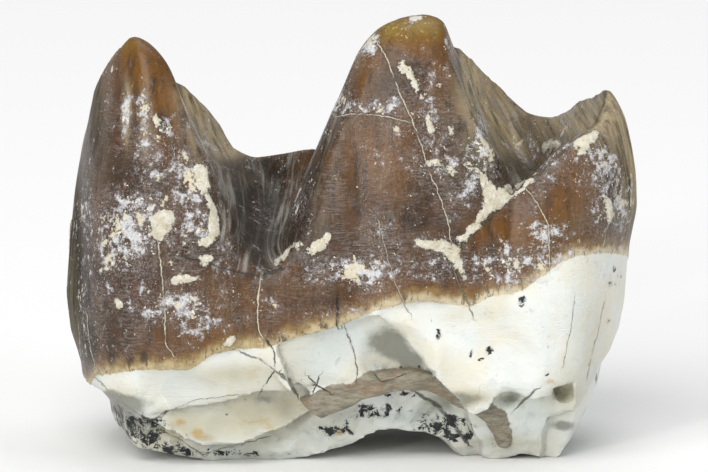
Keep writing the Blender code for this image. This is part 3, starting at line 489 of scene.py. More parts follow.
# Other low relief of the skin, each with the distances or heights over which it sets in
ENAMEL_SWELLS = 0.035
ENAMEL_STEP = 0.02
ENAMEL_STEP_RANGE = (-0.06, 0.06)
CRUST_THICKNESS = 0.06
CRUST_LUMPS = 0.05
CRUST_RANGE = (-0.06, 0.1)
BASE_ROUGHNESS = 0.05
BASE_ROUGH_BELOW = (2.4, 1.4)
BASE_ROUGH_ABOVE = (0.02, 0.3)

# Heights over which the skin is softened, places across which the cheek side takes over,
# the least height of the inner faces, how strongly a bend wears, and the bends of creases and arrises
SOFT_HEIGHTS = (6.0, 7.0)
BEHIND = (-2.0, 2.0)
CHEEK = (3.2, 4.2)
INNER_ABOVE = 7
WEAR = 8
SHARP_BENDS = (0.012, 0.05)

# What the photo's camera sees: the least facing, how far the look starts off the skin, and its reach
SEEN_FACING = 0.02
SEEN_LIFT = 0.12
SEEN_REACH = 40.0

# Added to the distance from a patch of sediment on the sides that it isn't drawn for
CRUST_APART = 1.5

# Distances from a crack over which it fades out of its attributes
CRACK_REACH = (0.25, 0.35)

# Uneven surfaces, each as (size of its lumps, octaves, seed)
LUMPS = {
    "underside": (0.9, 3, 5), "flake edge": (0.9, 3, 11), "strip": (0.5, 3, 91), "enamel": (3.2, 3, 41),
    "crust": (0.5, 3, 51), "base": (0.7, 4, 61), "chips": (0.6, 3, 101), "patches": (2.4, 2, 71),
    "other patches": (1.9, 3, 81),
}

# Creased faces, each as (size of its breaks, seed)
FACETS = {"flake edge": (0.5, 12), "large breaks": (1.1, 13), "small breaks": (0.45, 14)}

# Noises of the material, each as (size of its lumps, detail, roughness, shift);
# the streaky and bent ones go on with (stretch in plan, stretch upright, distortion)
NOISES = {
    "cloud": (2.2, 4, 0.6, 3.1), "red cloud": (1.3, 4, 0.6, 11.0),
    "upright grain": (0.42, 5, 0.65, 5.0, 1, 8, 0), "threads": (0.16, 4, 0.6, 9.0, 1, 9, 0),
    "dark stain and shade": (0.6, 4, 0.6, 14.0), "streaks": (0.16, 4, 0.6, 0.0), "broad streaks": (0.7, 3, 0.6, 4.0),
    "sway": (1.8, 2, 0.5, 2.0), "growth lines": (0.05, 3, 0.6, 0.0), "lined patches": (1.1, 3, 0.5, 21.0),
    "band edge": (0.45, 4, 0.6, 4.0), "hairs": (0.1, 3, 0.6, 8.0, 1, 7, 0),
    "marks": (0.34, 3, 0.6, 12.0, 1, 3, 0), "bloom patches": (1.5, 3, 0.55, 31.0),
    "fine bloom": (0.36, 6, 0.76, 13.0), "coarse bloom": (0.8, 2, 0.5, 17.0),
    "bloom grain": (0.11, 4, 0.75, 47.0), "frost": (0.075, 3, 0.7, 53.0), "flecks": (0.14, 3, 0.7, 41.0),
    "crumbs": (0.6, 5, 0.68, 49.0), "pits": (0.13, 3, 0.7, 43.0), "worn ridge": (0.4, 4, 0.6, 73.0),
    "root edge": (0.3, 4, 0.6, 4.5), "warm root": (1.8, 4, 0.6, 6.0),
    "veins": (0.9, 5, 0.6, 15.0, 1.8, 0.8, 0.6), "shade": (0.5, 5, 0.65, 16.0),
    "stains": (0.3, 4, 0.6, 18.0), "grey foot": (0.8, 4, 0.6, 22.0), "crease dirt and shade": (0.35, 5, 0.7, 27.0),
    "branches": (0.42, 8, 0.74, 25.0, 1, 1, 0.5), "dust": (0.09, 2, 0.5, 33.0),
    "strip fibre": (0.13, 5, 0.75, 19.0, 4, 1, 0), "strip patches": (0.6, 3, 0.6, 29.0),
    "strip edge": (0.2, 3, 0.6, 23.0), "crack wobble": (0.3, 4, 0.65, 61.0),
    "crack gaps": (0.5, 3, 0.6, 63.0), "crust edge": (0.45, 6, 0.78, 71.0),
    "crust tone": (0.35, 5, 0.7, 81.0), "crust specks": (0.12, 4, 0.65, 91.0),
    "crust relief": (0.12, 5, 0.7, 65.0), "gloss": (0.4, 5, 0.65, 35.0),
    "fine relief": (0.3, 5, 0.65, 45.0),
}

# The inner faces are streaked along their ridges, and the growth lines run level
STREAK_SQUEEZE = 0.12
LEVEL_SQUEEZE = 0.12

# Roughness of the enamel as (least, range), and of what lies on it
ENAMEL_GLOSS = (0.08, 0.34)
OLIVE_GLOSS = 0.8
BLOOM_GLOSS = 0.65
ROOT_GLOSS = 0.42
CRUST_GLOSS = 0.92
GLOSSY_LEVEL = 0.28
OLIVE_LEVEL = 0.02

# Fine relief of the material, in millimetres
LINE_RELIEF = 0.03
FINE_RELIEF = 0.035
FILM_RELIEF = 0.02
BLOOM_RELIEF = 0.012
CRUST_RELIEF = 0.1
CRACK_RELIEF = -0.04

# Cells of slightly different white in the broken root, as (size, shift), and how their borders wander
CELLS = (1.5, 5.0)
WANDER = (2.5, 0.35)

# Studio: the even light of the room, then each lamp as (name, place, size, power, colour)
WORLD_STRENGTH = 0.38
LIGHTS = [
    ("key", (-0.16, -0.42, 0.5), (0.5, 0.4), 2.95, (1.0, 0.99, 0.97)),
    ("strip_light", (-0.26, -0.5, 0.17), (0.03, 0.14), 1.0, (1.0, 0.99, 0.97)),
    ("top", (0.05, 0.15, 0.6), (0.5, 0.4), 1.35, (0.97, 0.99, 1.0)),
    ("side", (0.5, -0.3, 0.2), (0.2, 0.3), 0.6, (0.96, 0.98, 1.0)),
]

# Colours of the enamel, the root and the dirt; some of them also lay painted shade and painted highlights
DEEP_BROWN = (0.036, 0.022, 0.014)
BROWN = (0.088, 0.05, 0.028)
RED_BROWN = (0.085, 0.026, 0.006)
AMBER = (0.155, 0.064, 0.009)
YELLOW = (0.205, 0.13, 0.01)
NEAR_BLACK = (0.016, 0.016, 0.015)
OLIVE_TAN = (0.4, 0.32, 0.185)
OLIVE_GREY = (0.125, 0.112, 0.075)
EDGE_PALE = (0.58, 0.5, 0.35)
EDGE_BROWN = (0.27, 0.185, 0.075)
EDGE_YELLOW = (0.48, 0.39, 0.215)
HAZE_VIOLET = (0.165, 0.14, 0.132)
FROST_GREY = (0.34, 0.3, 0.29)
SCRATCH_GREY = (0.26, 0.22, 0.2)
FILM_BLUE = (0.6, 0.6, 0.62)
FILM_GREY = (0.3, 0.3, 0.265)
CHALK_WHITE = (0.7, 0.725, 0.7)
FRESH_WHITE = (0.585, 0.645, 0.62)
CHALK_WARM = (0.7, 0.675, 0.575)
CREAM = (0.415, 0.39, 0.275)
GREY_ROOT = (0.16, 0.165, 0.135)
BASE_GREY = (0.26, 0.27, 0.23)
LOBE_TAN = (0.42, 0.27, 0.09)
CREASE_SHADE_BROWN = (0.12, 0.1, 0.07)
STRIP_BROWN = (0.17, 0.15, 0.11)
STRIP_PALE = (0.31, 0.285, 0.22)
STRIP_ORANGE = (0.25, 0.15, 0.075)
DENDRITE_BLACK = (0.016, 0.018, 0.02)
CRUST_BEIGE = (0.62, 0.56, 0.42)
CRUST_PALE = (0.76, 0.735, 0.64)
CRUST_DARK = (0.36, 0.3, 0.21)

# The floor and the point that the lamps aim at, in metres
FLOOR_HALF = 3.0
FLOOR_COLOUR = (0.86, 0.86, 0.86, 1.0)
FLOOR_GLOSS = 0.8
AIM = (0, 0, 0.008)


def soft_max(a, b, width):
    share = np.clip(0.5 + 0.5 * (a - b) / width, 0, 1)
    return b + (a - b) * share + width * share * (1 - share)


def soft_min(a, b, width):
    return -soft_max(-a, -b, width)


def smooth_step(value, low, high):
    share = np.clip((value - low) / (high - low), 0, 1)
    return share * share * (3 - 2 * share)


def curve(points, steps, closed):
    """Smooth curve through the given points."""
    p = np.array(points, float)
    if closed:
        p = np.vstack([p[-1:], p, p[:2]])
    else:
        p = np.vstack([2 * p[0] - p[1], p, 2 * p[-1] - p[-2]])
    found = []
    for a, b, c, d in zip(p[:-3], p[1:-2], p[2:-1], p[3:]):
        for t in np.arange(steps) / steps:
            bend = (2 * a - 5 * b + 4 * c - d) * t ** 2 + (3 * b - a - 3 * c + d) * t ** 3
            found.append(b + 0.5 * ((c - a) * t + bend))
    found.append(p[-2])
    return np.array(found)


def nearest(x, y, a, b):
    """Distance to the segment a-b, and how far along it the nearest point lies."""
    dx = b[0] - a[0]
    dy = b[1] - a[1]
    share = np.clip(((x - a[0]) * dx + (y - a[1]) * dy) / (dx * dx + dy * dy + 1e-12), 0, 1)
    return np.hypot(x - a[0] - share * dx, y - a[1] - share * dy), share


def inside(x, y, loop):
    hit = np.zeros(x.shape, bool)
    for a, b in zip(loop, np.roll(loop, -1, axis=0)):
        if a[1] != b[1]:
            between = (a[1] > y) != (b[1] > y)
            hit ^= between & (x < (b[0] - a[0]) * (y - a[1]) / (b[1] - a[1]) + a[0])
    return hit


def signed_distance(x, y, loop):
    """Distance to a closed outline, negative inside it."""
    distance = np.full(x.shape, FAR)
    for a, b in zip(loop, np.roll(loop, -1, axis=0)):
        distance = np.minimum(distance, nearest(x, y, a, b)[0])
    return np.where(inside(x, y, loop), -distance, distance)


def read_profile(value, points):
    table = np.array(points, float)
    return np.interp(value, table[:, 0], table[:, 1])


def trough(across, left_slope, right_slope, softness):
    slope = np.where(across < 0, left_slope, right_slope)
    return slope * (np.sqrt(across ** 2 + softness ** 2) - softness)


def wave(value, waves):
    return sum(height * np.sin(2 * np.pi * value / length + phase) for length, height, phase in waves)


def lattice_noise(x, y, z, size, seed):
    """Smooth noise between -1 and 1 whose lumps are about the given size."""
    draw = np.random.default_rng(seed)
    order = draw.permutation(256)
    level = draw.uniform(-1, 1, 256)
    cell = []
    share = []
    for value in (x, y, z):
        scaled = np.asarray(value, float) / size
        low = np.floor(scaled)
        cell.append(low.astype(int))
        part = scaled - low
        share.append(part * part * (3 - 2 * part))
    total = 0
    for corner in np.ndindex(2, 2, 2):
        index = 0
        weight = 1
        for axis, step in enumerate(corner):
            index = order[(cell[axis] + step + index) & 255]
            weight = weight * (share[axis] if step else 1 - share[axis])
        total = total + weight * level[index]
    return total


def rough(x, y, z, size, octaves, seed):
    total = 0
    for octave in range(octaves):
        total = total + lattice_noise(x, y, z, size / 2 ** octave, seed + octave) / 2 ** octave
    return total


def facets(across, up, size, seed):
    """Creased faces of about the given size, like small breaks, most of them between -1 and 1."""
    draw = np.random.default_rng(seed)
    highest = np.full(across.shape, -9.0)
    for middle_x in np.arange(across.min() - size, across.max() + size, size):
        for middle_z in np.arange(up.min() - size, up.max() + size, size):
            shift_x, shift_z, tilt_x, tilt_z, level = draw.uniform(-1, 1, 5)
            dx = (across - middle_x) / size - 0.4 * shift_x
            dz = (up - middle_z) / size - 0.4 * shift_z
            face = 0.7 * level + tilt_x * dx + tilt_z * dz - 0.9 * (dx ** 2 + dz ** 2)
            highest = np.maximum(highest, face)
    return highest


def basin_floor(x, y, line, height, sides, rise):
    """Height of the floor of an open basin over the plan."""
    middle_x, lean, middle_y = line
    low, slope, low_y = height
    across = x - middle_x - lean * (y - middle_y)
    climb = rise * np.maximum(0, y - FLOOR_RISES_FROM) ** 2
    return low + slope * (y - low_y) + trough(across, *sides) + climb


def ridge_loop(ridges):
    return np.vstack([curve(points, RIDGE_STEPS, False)[::way] for points, way in ridges])


def chewing_surface(x, y):
    """Height of the cusps, ridges and basins over each point of the plan."""
    outer = np.full(x.shape, -50.0)
    cut = np.full(x.shape, FAR)
    basins = []
    for ridges, floor_form in ((BACK_BASIN_RIDGES, BACK_FLOOR), (FRONT_BASIN_RIDGES, FRONT_FLOOR)):
        floor = basin_floor(x, y, *floor_form)
        loop = ridge_loop(ridges)
        ridge = np.full(x.shape, -50.0)
        cap = np.full(x.shape, FAR)
        distance = np.full(x.shape, FAR)
        for a, b in zip(loop[:-1], loop[1:]):
            away, share = nearest(x, y, a, b)
            crest = a[2] + (b[2] - a[2]) * share + CREST_LIFT
            across = away / (a[3] + (b[3] - a[3]) * share)
            outer = np.maximum(outer, crest - CREST_FALL * across - CREST_DROP * across ** 3)
            ridge = np.maximum(ridge, crest - RIDGE_SLOPE * away)
            cap = np.minimum(cap, crest + CAP_SLOPE * away)
            distance = np.minimum(distance, away)
        basin = soft_max(ridge, np.minimum(floor, cap), BASIN_BLEND)
        basin = np.minimum(basin, ridge + JOIN_SLOPE * distance)
        cut = np.minimum(cut, ridge + CUT_SLOPE * distance)
        basins.append((inside(x, y, loop), basin))
    height = soft_min(outer, cut, CUT_BLEND)
    for within, basin in basins:
        height = np.where(within, basin, height)
    return height


def whole_body(x, y, zs):
    """Field of the tooth's walls and chewing surface, before anything is broken off."""
    top = chewing_surface(x, y)
    slope_x, slope_y = np.gradient(top, GRID_STEP)
    steepness = np.sqrt(1 + np.clip(slope_x ** 2 + slope_y ** 2, 0, STEEPEST))
    rim = signed_distance(x, y, curve(OUTLINE, OUTLINE_STEPS, True)[:-1])
    out_x, out_y = np.gradient(rim, GRID_STEP)
    length = np.hypot(out_x, out_y) + 1e-6
    out_x = out_x / length
    out_y = out_y / length
    wall = rim[:, :, None] - SWELL
    sides = [(-out_x, BACK_END), (out_x, FRONT_END), (-out_y, TONGUE_SIDE), (out_y, CHEEK_SIDE)]
    for facing, inset in sides:
        share = np.maximum(0, facing) ** 2
        wall = wall + share[:, :, None] * read_profile(zs, inset)[None, None, :]
    over = (zs[None, None, :] - top[:, :, None]) / steepness[:, :, None]
    return soft_max(wall, over, WALL_BLEND)


def underside(x, y):
    """Height of the broken underside over the plan, 0 at the feet."""
    ground = read_profile(x + wave(y, UNDERSIDE_WAVES), UNDERSIDE)
    for middle_x, middle_y, half_x, half_y, rise in HOLLOWS:
        ground = ground + rise * np.exp(-((x - middle_x) / half_x) ** 2 - ((y - middle_y) / half_y) ** 2)
    lumps = UNDERSIDE_ROUGHNESS * rough(x, y, 0 * x, *LUMPS["underside"])
    return np.maximum(0, ground - FLAT_BELOW + lumps)


def break_flakes(base, xs, ys, zs):
    """Field of the base without its flakes."""
    across, up = np.meshgrid(xs, zs, indexing="ij")
    bend = EDGE_BEND * rough(across, up, 0 * up + 3, *LUMPS["flake edge"])
    bend = bend + EDGE_BREAKS * facets(across, up, *FACETS["flake edge"])
    small = SMALL_BREAKS * facets(across, up, *FACETS["small breaks"])
    breaks = facets(across, up, *FACETS["large breaks"]) + small - BREAKS_DOWN
    breaks = breaks * smooth_step(strip_gap(across, up), *STRIP_CALM)
    scoop = 0.0
    for middle_x, middle_z, half_x, half_z, sink in SCOOPS:
        near = 1 - ((across - middle_x) / half_x) ** 2 - ((up - middle_z) / half_z) ** 2
        scoop = scoop + sink * np.maximum(near, 0)
    for side, corners, floor, slant, small_breaks in FLAKES:
        depth, height, lean, turn, middle = floor
        edge = signed_distance(across, up, np.array(corners, float)) + bend
        ripple = small_breaks * breaks + wave(across - side * up, FLAKE_WAVES)
        if side < 0:
            ripple = ripple + scoop
        out = (side * ys)[None, :, None] + ripple[:, None, :]
        bottom = (depth - lean * (height - up) + turn * (across - middle))[:, None, :] - out
        bottom = bottom / math.sqrt(1 + lean ** 2)
        piece = soft_max(edge[:, None, :] + slant * (depth - out), bottom, FLAKE_BLEND)
        base = soft_max(base, -piece, ARRIS_BLEND)
    return base


def tooth_field(xs, ys, zs):
    """Signed field of the whole tooth on a grid, negative inside."""
    x, y = np.meshgrid(xs, ys, indexing="ij")
    under = underside(x, y)[:, :, None] - zs[None, None, :]
    solid = soft_max(whole_body(x, y, zs), under, UNDER_BLEND)
    low = zs < BASE_TOP
    base = break_flakes(solid[:, :, low], xs, ys, zs[low])
    band = strip_distance(x[:, :, None], y[:, :, None], zs[None, None, low])
    solid[:, :, low] = soft_min(base, soft_max(band, under[:, :, low], UNDER_BLEND), UNDER_BLEND)
    return solid


def strip_distance(x, y, z):
    """Signed distance to the brown strip."""
    distance = FAR
    for a, b in zip(STRIP[:-1], STRIP[1:]):
        away, share = nearest(x, z, a, b)
        depth = a[2] + (b[2] - a[2]) * share
        half_height = a[3] + (b[3] - a[3]) * share
        over = np.maximum(away - half_height + STRIP_CORNER, 0)
        beyond = np.maximum(np.abs(y + depth - STRIP_HALF_DEPTH) - STRIP_HALF_DEPTH + STRIP_CORNER, 0)
        distance = np.minimum(distance, np.hypot(over, beyond) - STRIP_CORNER)
    distance = distance + STRIP_ROUGHNESS * rough(x, 0 * y, z, *LUMPS["strip"])
    end_x, end_z, slope_x, slope_z = STRIP_END
    return np.maximum(distance, (x - end_x) * slope_x + (z - end_z) * slope_z)


def strip_gap(x, z):
    """Distance from the strip's middle line."""
    return np.min([nearest(x, z, a, b)[0] for a, b in zip(STRIP[:-1], STRIP[1:])], axis=0)


def soften(field):
    """Average each sample with its neighbours, which takes the steps off the sharp ridges."""
    for axis in range(3):
        padded = np.pad(field, [(1, 1) if other == axis else (0, 0) for other in range(3)], mode="edge")
        padded = np.moveaxis(padded, axis, 0)
        field = np.moveaxis((padded[:-2] + 2 * padded[1:-1] + padded[2:]) / 4, 0, axis)
    return field.copy()


def part_diagonals(field):
    """Fill samples that touch only corner to corner, so that no edge of the skin has four faces."""
    for _ in range(20):
        changed = 0
        for first, second in ((0, 1), (0, 2), (1, 2)):
            f = np.moveaxis(field, (first, second), (0, 1))
            a, b, c, d = f[:-1, :-1], f[1:, :-1], f[1:, 1:], f[:-1, 1:]
            for near, far, other, opposite in ((a, c, b, d), (b, d, a, c)):
                crossed = (near < 0) & (far < 0) & (other >= 0) & (opposite >= 0)
                other[crossed] = -0.01
                changed += crossed.sum()
        if changed == 0:
            break
    return field


def skin(field, origin, step):
    """Points and four-sided faces of the closed surface where the field is zero."""
    cells = tuple(n - 1 for n in field.shape)
    total = np.zeros(cells + (3,))
    count = np.zeros(cells)
    for axis in range(3):
        others = [other for other in range(3) if other != axis]
        for corner in ((0, 0), (0, 1), (1, 0), (1, 1)):
            low = [slice(0, -1)] * 3
            high = [slice(1, None)] * 3
            for other, offset in zip(others, corner):
                low[other] = high[other] = slice(offset, field.shape[other] - 1 + offset)
            start = field[tuple(low)]
            end = field[tuple(high)]
            crossed = (start < 0) != (end < 0)
            total[..., axis] += np.where(crossed, start / np.where(crossed, start - end, 1), 0)
            for other, offset in zip(others, corner):
                total[..., other] += crossed * offset
            count += crossed
    used = count > 0
    index = np.full(cells, -1)
    index[used] = np.arange(used.sum())
    points = (np.argwhere(used) + total[used] / count[used][:, None]) * step + origin
    faces = []
    for axis in range(3):
        low = [slice(1, -1)] * 3
        high = [slice(1, -1)] * 3
        low[axis] = slice(0, -1)
        high[axis] = slice(1, None)
        start = field[tuple(low)] < 0
        end = field[tuple(high)] < 0
        side_a, side_b = np.eye(3, dtype=int)[[other for other in range(3) if other != axis]]
        for outward, crossed in ((axis != 1, start & ~end), (axis == 1, ~start & end)):
            cell = np.argwhere(crossed) + side_a + side_b
            corners = [cell - side_a - side_b, cell - side_b, cell, cell - side_a]
            ring = np.stack([index[tuple(corner.T)] for corner in corners], axis=1)
            faces.append(ring if outward else ring[:, ::-1])
    return points, np.concatenate(faces)


def photo_point(pixel_across, pixel_down):
    """Place in the picture plane, in millimetres from the tooth's middle and up from the ground line."""
    across = (pixel_across - MIDDLE_PIXEL) / PIXELS_PER_MM
    up = (GROUND_PIXEL - pixel_down) / PIXELS_PER_MM + GROUND_RISE
    return across, up


def photo_points(pixels):
    return [photo_point(a, b) for a, b in pixels]


def spots(across, up, table):
    """Soft spots laid over each other, from 0 to 1."""
    clear = np.ones(across.shape)
    for pixel_across, pixel_down, half_width, half_height, strength in table:
        middle_across, middle_up = photo_point(pixel_across, pixel_down)
        far = ((across - middle_across) * PIXELS_PER_MM / half_width) ** 2
        far = far + ((up - middle_up) * PIXELS_PER_MM / half_height) ** 2
        clear = clear * (1 - strength * np.exp(-far))
    return 1 - clear


def chain_distance(places, chains):
    """Distance to the nearest chain of round patches, negative inside it."""
    distance = np.full(len(places), NOT_NEAR)
    for chain in chains:
        for (*a, start_radius), (*b, end_radius) in zip(chain, chain[1:] or chain):
            run = np.subtract(b, a)
            share = np.clip((places - a) @ run / (run @ run + 1e-12), 0, 1)
            away = np.linalg.norm(places - a - share[:, None] * run, axis=1)
            distance = np.minimum(distance, away - start_radius - (end_radius - start_radius) * share)
    return distance


def line_distance(across, up, points):
    """Distance to the line through the points, and 1 or -1 for the side of it."""
    distance = np.full(across.shape, NOT_NEAR)
    side = np.ones(across.shape)
    for a, b in zip(points, points[1:]):
        away, _ = nearest(across, up, a, b)
        turn = (b[0] - a[0]) * (up - a[1]) - (b[1] - a[1]) * (across - a[0])
        closer = away < distance
        distance = np.where(closer, away, distance)
        side = np.where(closer, np.sign(turn), side)
    return distance, side


def crack_lines(across, up, cracks):
    """Distance to the nearest crack, signed by its side, its half width, its darkness and 1 beside it."""
    distance = np.full(across.shape, NOT_NEAR)
    side = np.ones(across.shape)
    width = np.zeros(across.shape)
    dark = np.zeros(across.shape)
    for points, half_width, darkness in cracks:
        away, this_side = line_distance(across, up, points)
        closer = away < distance
        distance = np.where(closer, away, distance)
        side = np.where(closer, this_side, side)
        width = np.where(closer, half_width, width)
        dark = np.where(closer, darkness, dark)
    return side * distance, width, dark, 1 - smooth_step(distance, *CRACK_REACH)


def ridge_fan(across, up):
    """Distance to the nearest of the seen ridges, and how far along it the nearest point lies."""
    fan = np.full(across.shape, FAR)
    along = np.zeros(across.shape)
    for ridge in STREAK_RIDGES:
        points = photo_points(ridge)
        run = 0.0
        for a, b in zip(points, points[1:]):
            away, share = nearest(across, up, a, b)
            length = math.dist(a, b)
            along = np.where(away < fan, run + share * length, along)
            fan = np.minimum(fan, away)
            run += length
    return fan, along


def add_object(name, data):
    made = bpy.data.objects.new(name, data)
    bpy.context.scene.collection.objects.link(made)
    return made


def make_mesh(name, points, faces):
    mesh = bpy.data.meshes.new(name)
    mesh.vertices.add(len(points))
    mesh.vertices.foreach_set("co", (points * MM).astype(np.float32).ravel())
    mesh.loops.add(len(faces) * 4)
    mesh.loops.foreach_set("vertex_index", faces.astype(np.int32).ravel())
    mesh.polygons.add(len(faces))
    mesh.polygons.foreach_set("loop_start", np.arange(len(faces), dtype=np.int32) * 4)
    mesh.polygons.foreach_set("use_smooth", np.ones(len(faces), bool))
    mesh.update(calc_edges=True)
    mesh.validate()
    return mesh


def normals_of(mesh):
    found = np.empty(len(mesh.vertices) * 3, np.float32)
    mesh.vertex_normals.foreach_get("vector", found)
    return found.reshape(-1, 3).astype(float)


def neighbour_mean(values, faces):
    """Mean of each point's neighbours across its faces."""
    total = np.zeros(values.shape)
    count = np.zeros(len(values))
    for a, b in ((0, 1), (1, 2), (2, 3), (3, 0)):
        for start, end in ((a, b), (b, a)):
            np.add.at(total, faces[:, start], values[faces[:, end]])
            np.add.at(count, faces[:, start], 1)
    if values.ndim > 1:
        count = count[:, None]
    return total / np.maximum(count, 1)


def spread(values, faces, rounds):
    for _ in range(rounds):
        values = 0.5 * values + 0.5 * neighbour_mean(values, faces)
    return values


def seen_points(points, normals, faces):
    """1 for the points that the photo's camera sees, fading to 0 behind the ridges."""
    tree = BVHTree.FromPolygons([tuple(p) for p in points], faces.tolist())
    towards = Vector((0.0, -math.cos(CAMERA_ELEVATION), math.sin(CAMERA_ELEVATION)))
    facing = normals @ np.array(towards)
    seen = np.zeros(len(points))
    for i in np.flatnonzero(facing > SEEN_FACING):
        start = Vector(points[i]) + (Vector(normals[i]) + towards) * SEEN_LIFT
        if tree.ray_cast(start, towards, SEEN_REACH)[0] is None:
            seen[i] = 1.0
    return spread(seen, faces, 2)


def set_attribute(mesh, name, values):
    layer = mesh.attributes.new(name, "FLOAT", "POINT")
    layer.data.foreach_set("value", values.astype(np.float32))


class Shader:
    """Short names for the nodes of one material."""

    def __init__(self, name):
        self.material = bpy.data.materials.new(name)
        self.material.use_nodes = True
        self.tree = self.material.node_tree
        self.surface = self.tree.nodes["Principled BSDF"]
        texture = self.node("ShaderNodeTexCoord", {})
        self.place = self.scaled(texture.outputs["Object"], 1 / MM)

    def join(self, value, socket):
        if isinstance(value, bpy.types.NodeSocket):
            self.tree.links.new(value, socket)
        else:
            socket.default_value = value

    def node(self, kind, inputs, **settings):
        """A new node with these settings, and these values or sockets joined to its inputs."""
        made = self.tree.nodes.new(kind)
        for name, value in settings.items():
            setattr(made, name, value)
        for socket, value in inputs.items():
            self.join(value, made.inputs[socket])
        return made

    def vector(self, operation, a, b):
        made = self.node("ShaderNodeVectorMath", {0: a, 1: b}, operation=operation)
        return made.outputs["Value" if operation == "DOT_PRODUCT" else "Vector"]

    def scaled(self, a, factor):
        inputs = {0: a, "Scale": factor}
        return self.node("ShaderNodeVectorMath", inputs, operation="SCALE").outputs["Vector"]

    def math(self, operation, a, b=0.0):
        return self.node("ShaderNodeMath", {0: a, 1: b}, operation=operation).outputs[0]

    def add(self, a, b):
        return self.math("ADD", a, b)

    def times(self, *values):
        result = values[0]
        for value in values[1:]:
            result = self.math("MULTIPLY", result, value)
        return result

    def step(self, value, low, high):
        """0 below low, 1 above high, smooth between; low above high turns it round."""
        turned = low > high
        inputs = {"Value": value, "From Min": min(low, high), "From Max": max(low, high),
                  "To Min": float(turned), "To Max": float(not turned)}
        return self.node("ShaderNodeMapRange", inputs, interpolation_type="SMOOTHSTEP").outputs["Result"]

    def mix(self, share, a, b):
        """One colour turning into another as the share goes from 0 to 1."""
        made = self.node("ShaderNodeMix", {"Factor": share}, data_type="RGBA")
        colours = [socket for socket in made.inputs if socket.type == "RGBA"]
        for value, socket in zip((a, b), colours):
            self.join(value if isinstance(value, bpy.types.NodeSocket) else (*value, 1.0), socket)
        return [socket for socket in made.outputs if socket.type == "RGBA"][0]

    def blend(self, share, a, b):
        """The same for two numbers."""
        inputs = {"Factor": share, "A": a, "B": b}
        return self.node("ShaderNodeMix", inputs, data_type="FLOAT").outputs["Result"]

    def lay(self, colour, over, *shares):
        """The colour with another laid over it, as strongly as the shares say together."""
        return self.mix(self.times(*shares), colour, over)

    def coordinate(self, axis):
        """Place along one axis, in millimetres."""
        return self.vector("DOT_PRODUCT", self.place, tuple(float(axis == other) for other in range(3)))

    def combine(self, *values):
        return self.node("ShaderNodeCombineXYZ", dict(enumerate(values))).outputs[0]

    def noise(self, name, place=None):
        """The noise of that name, from 0 to 1."""
        size, detail, roughness, shift, *rest = NOISES[name]
        plan, upright, distortion = rest or (1, 1, 0)
        place = self.vector("MULTIPLY", place or self.place, (1 / plan, 1 / plan, 1 / upright))
        place = self.vector("ADD", place, (shift, shift * 1.7, shift * 0.6))
        inputs = {"Vector": place, "Scale": 1 / size, "Detail": detail, "Roughness": roughness,
                  "Distortion": distortion}
        return self.node("ShaderNodeTexNoise", inputs).outputs["Fac"]

    def patch(self, name, low, high):
        """Patches of the noise of that name, by a step between the two levels."""
        return self.step(self.noise(name), low, high)

    def ruffle(self, name, amount):
        """The noise of that name, spread evenly round 0."""
        return self.times(self.add(self.noise(name), -0.5), amount)

    def cells(self, size, shift):
        """A value from 0 to 1 that is even inside each angular cell and jumps at its borders."""
        place = self.vector("ADD", self.scaled(self.place, 1 / size), (shift, shift * 0.7, shift * 1.3))
        scale, amount = WANDER
        bent = self.node("ShaderNodeTexNoise", {"Vector": place, "Scale": scale}).outputs["Color"]
        place = self.vector("ADD", place, self.scaled(bent, amount))
        return self.node("ShaderNodeTexVoronoi", {"Vector": place, "Scale": 1.0}).outputs["Color"]

    def attribute(self, name):
        return self.node("ShaderNodeAttribute", {}, attribute_name=name).outputs["Fac"]


def clouded(s):
    """Share of the enamel that isn't clear amber, yellow or olive."""
    clear = s.math("MAXIMUM", s.attribute("amber"), s.attribute("yellow"))
    return s.step(s.math("MAXIMUM", clear, s.attribute("olive")), 0.9, 0.1)


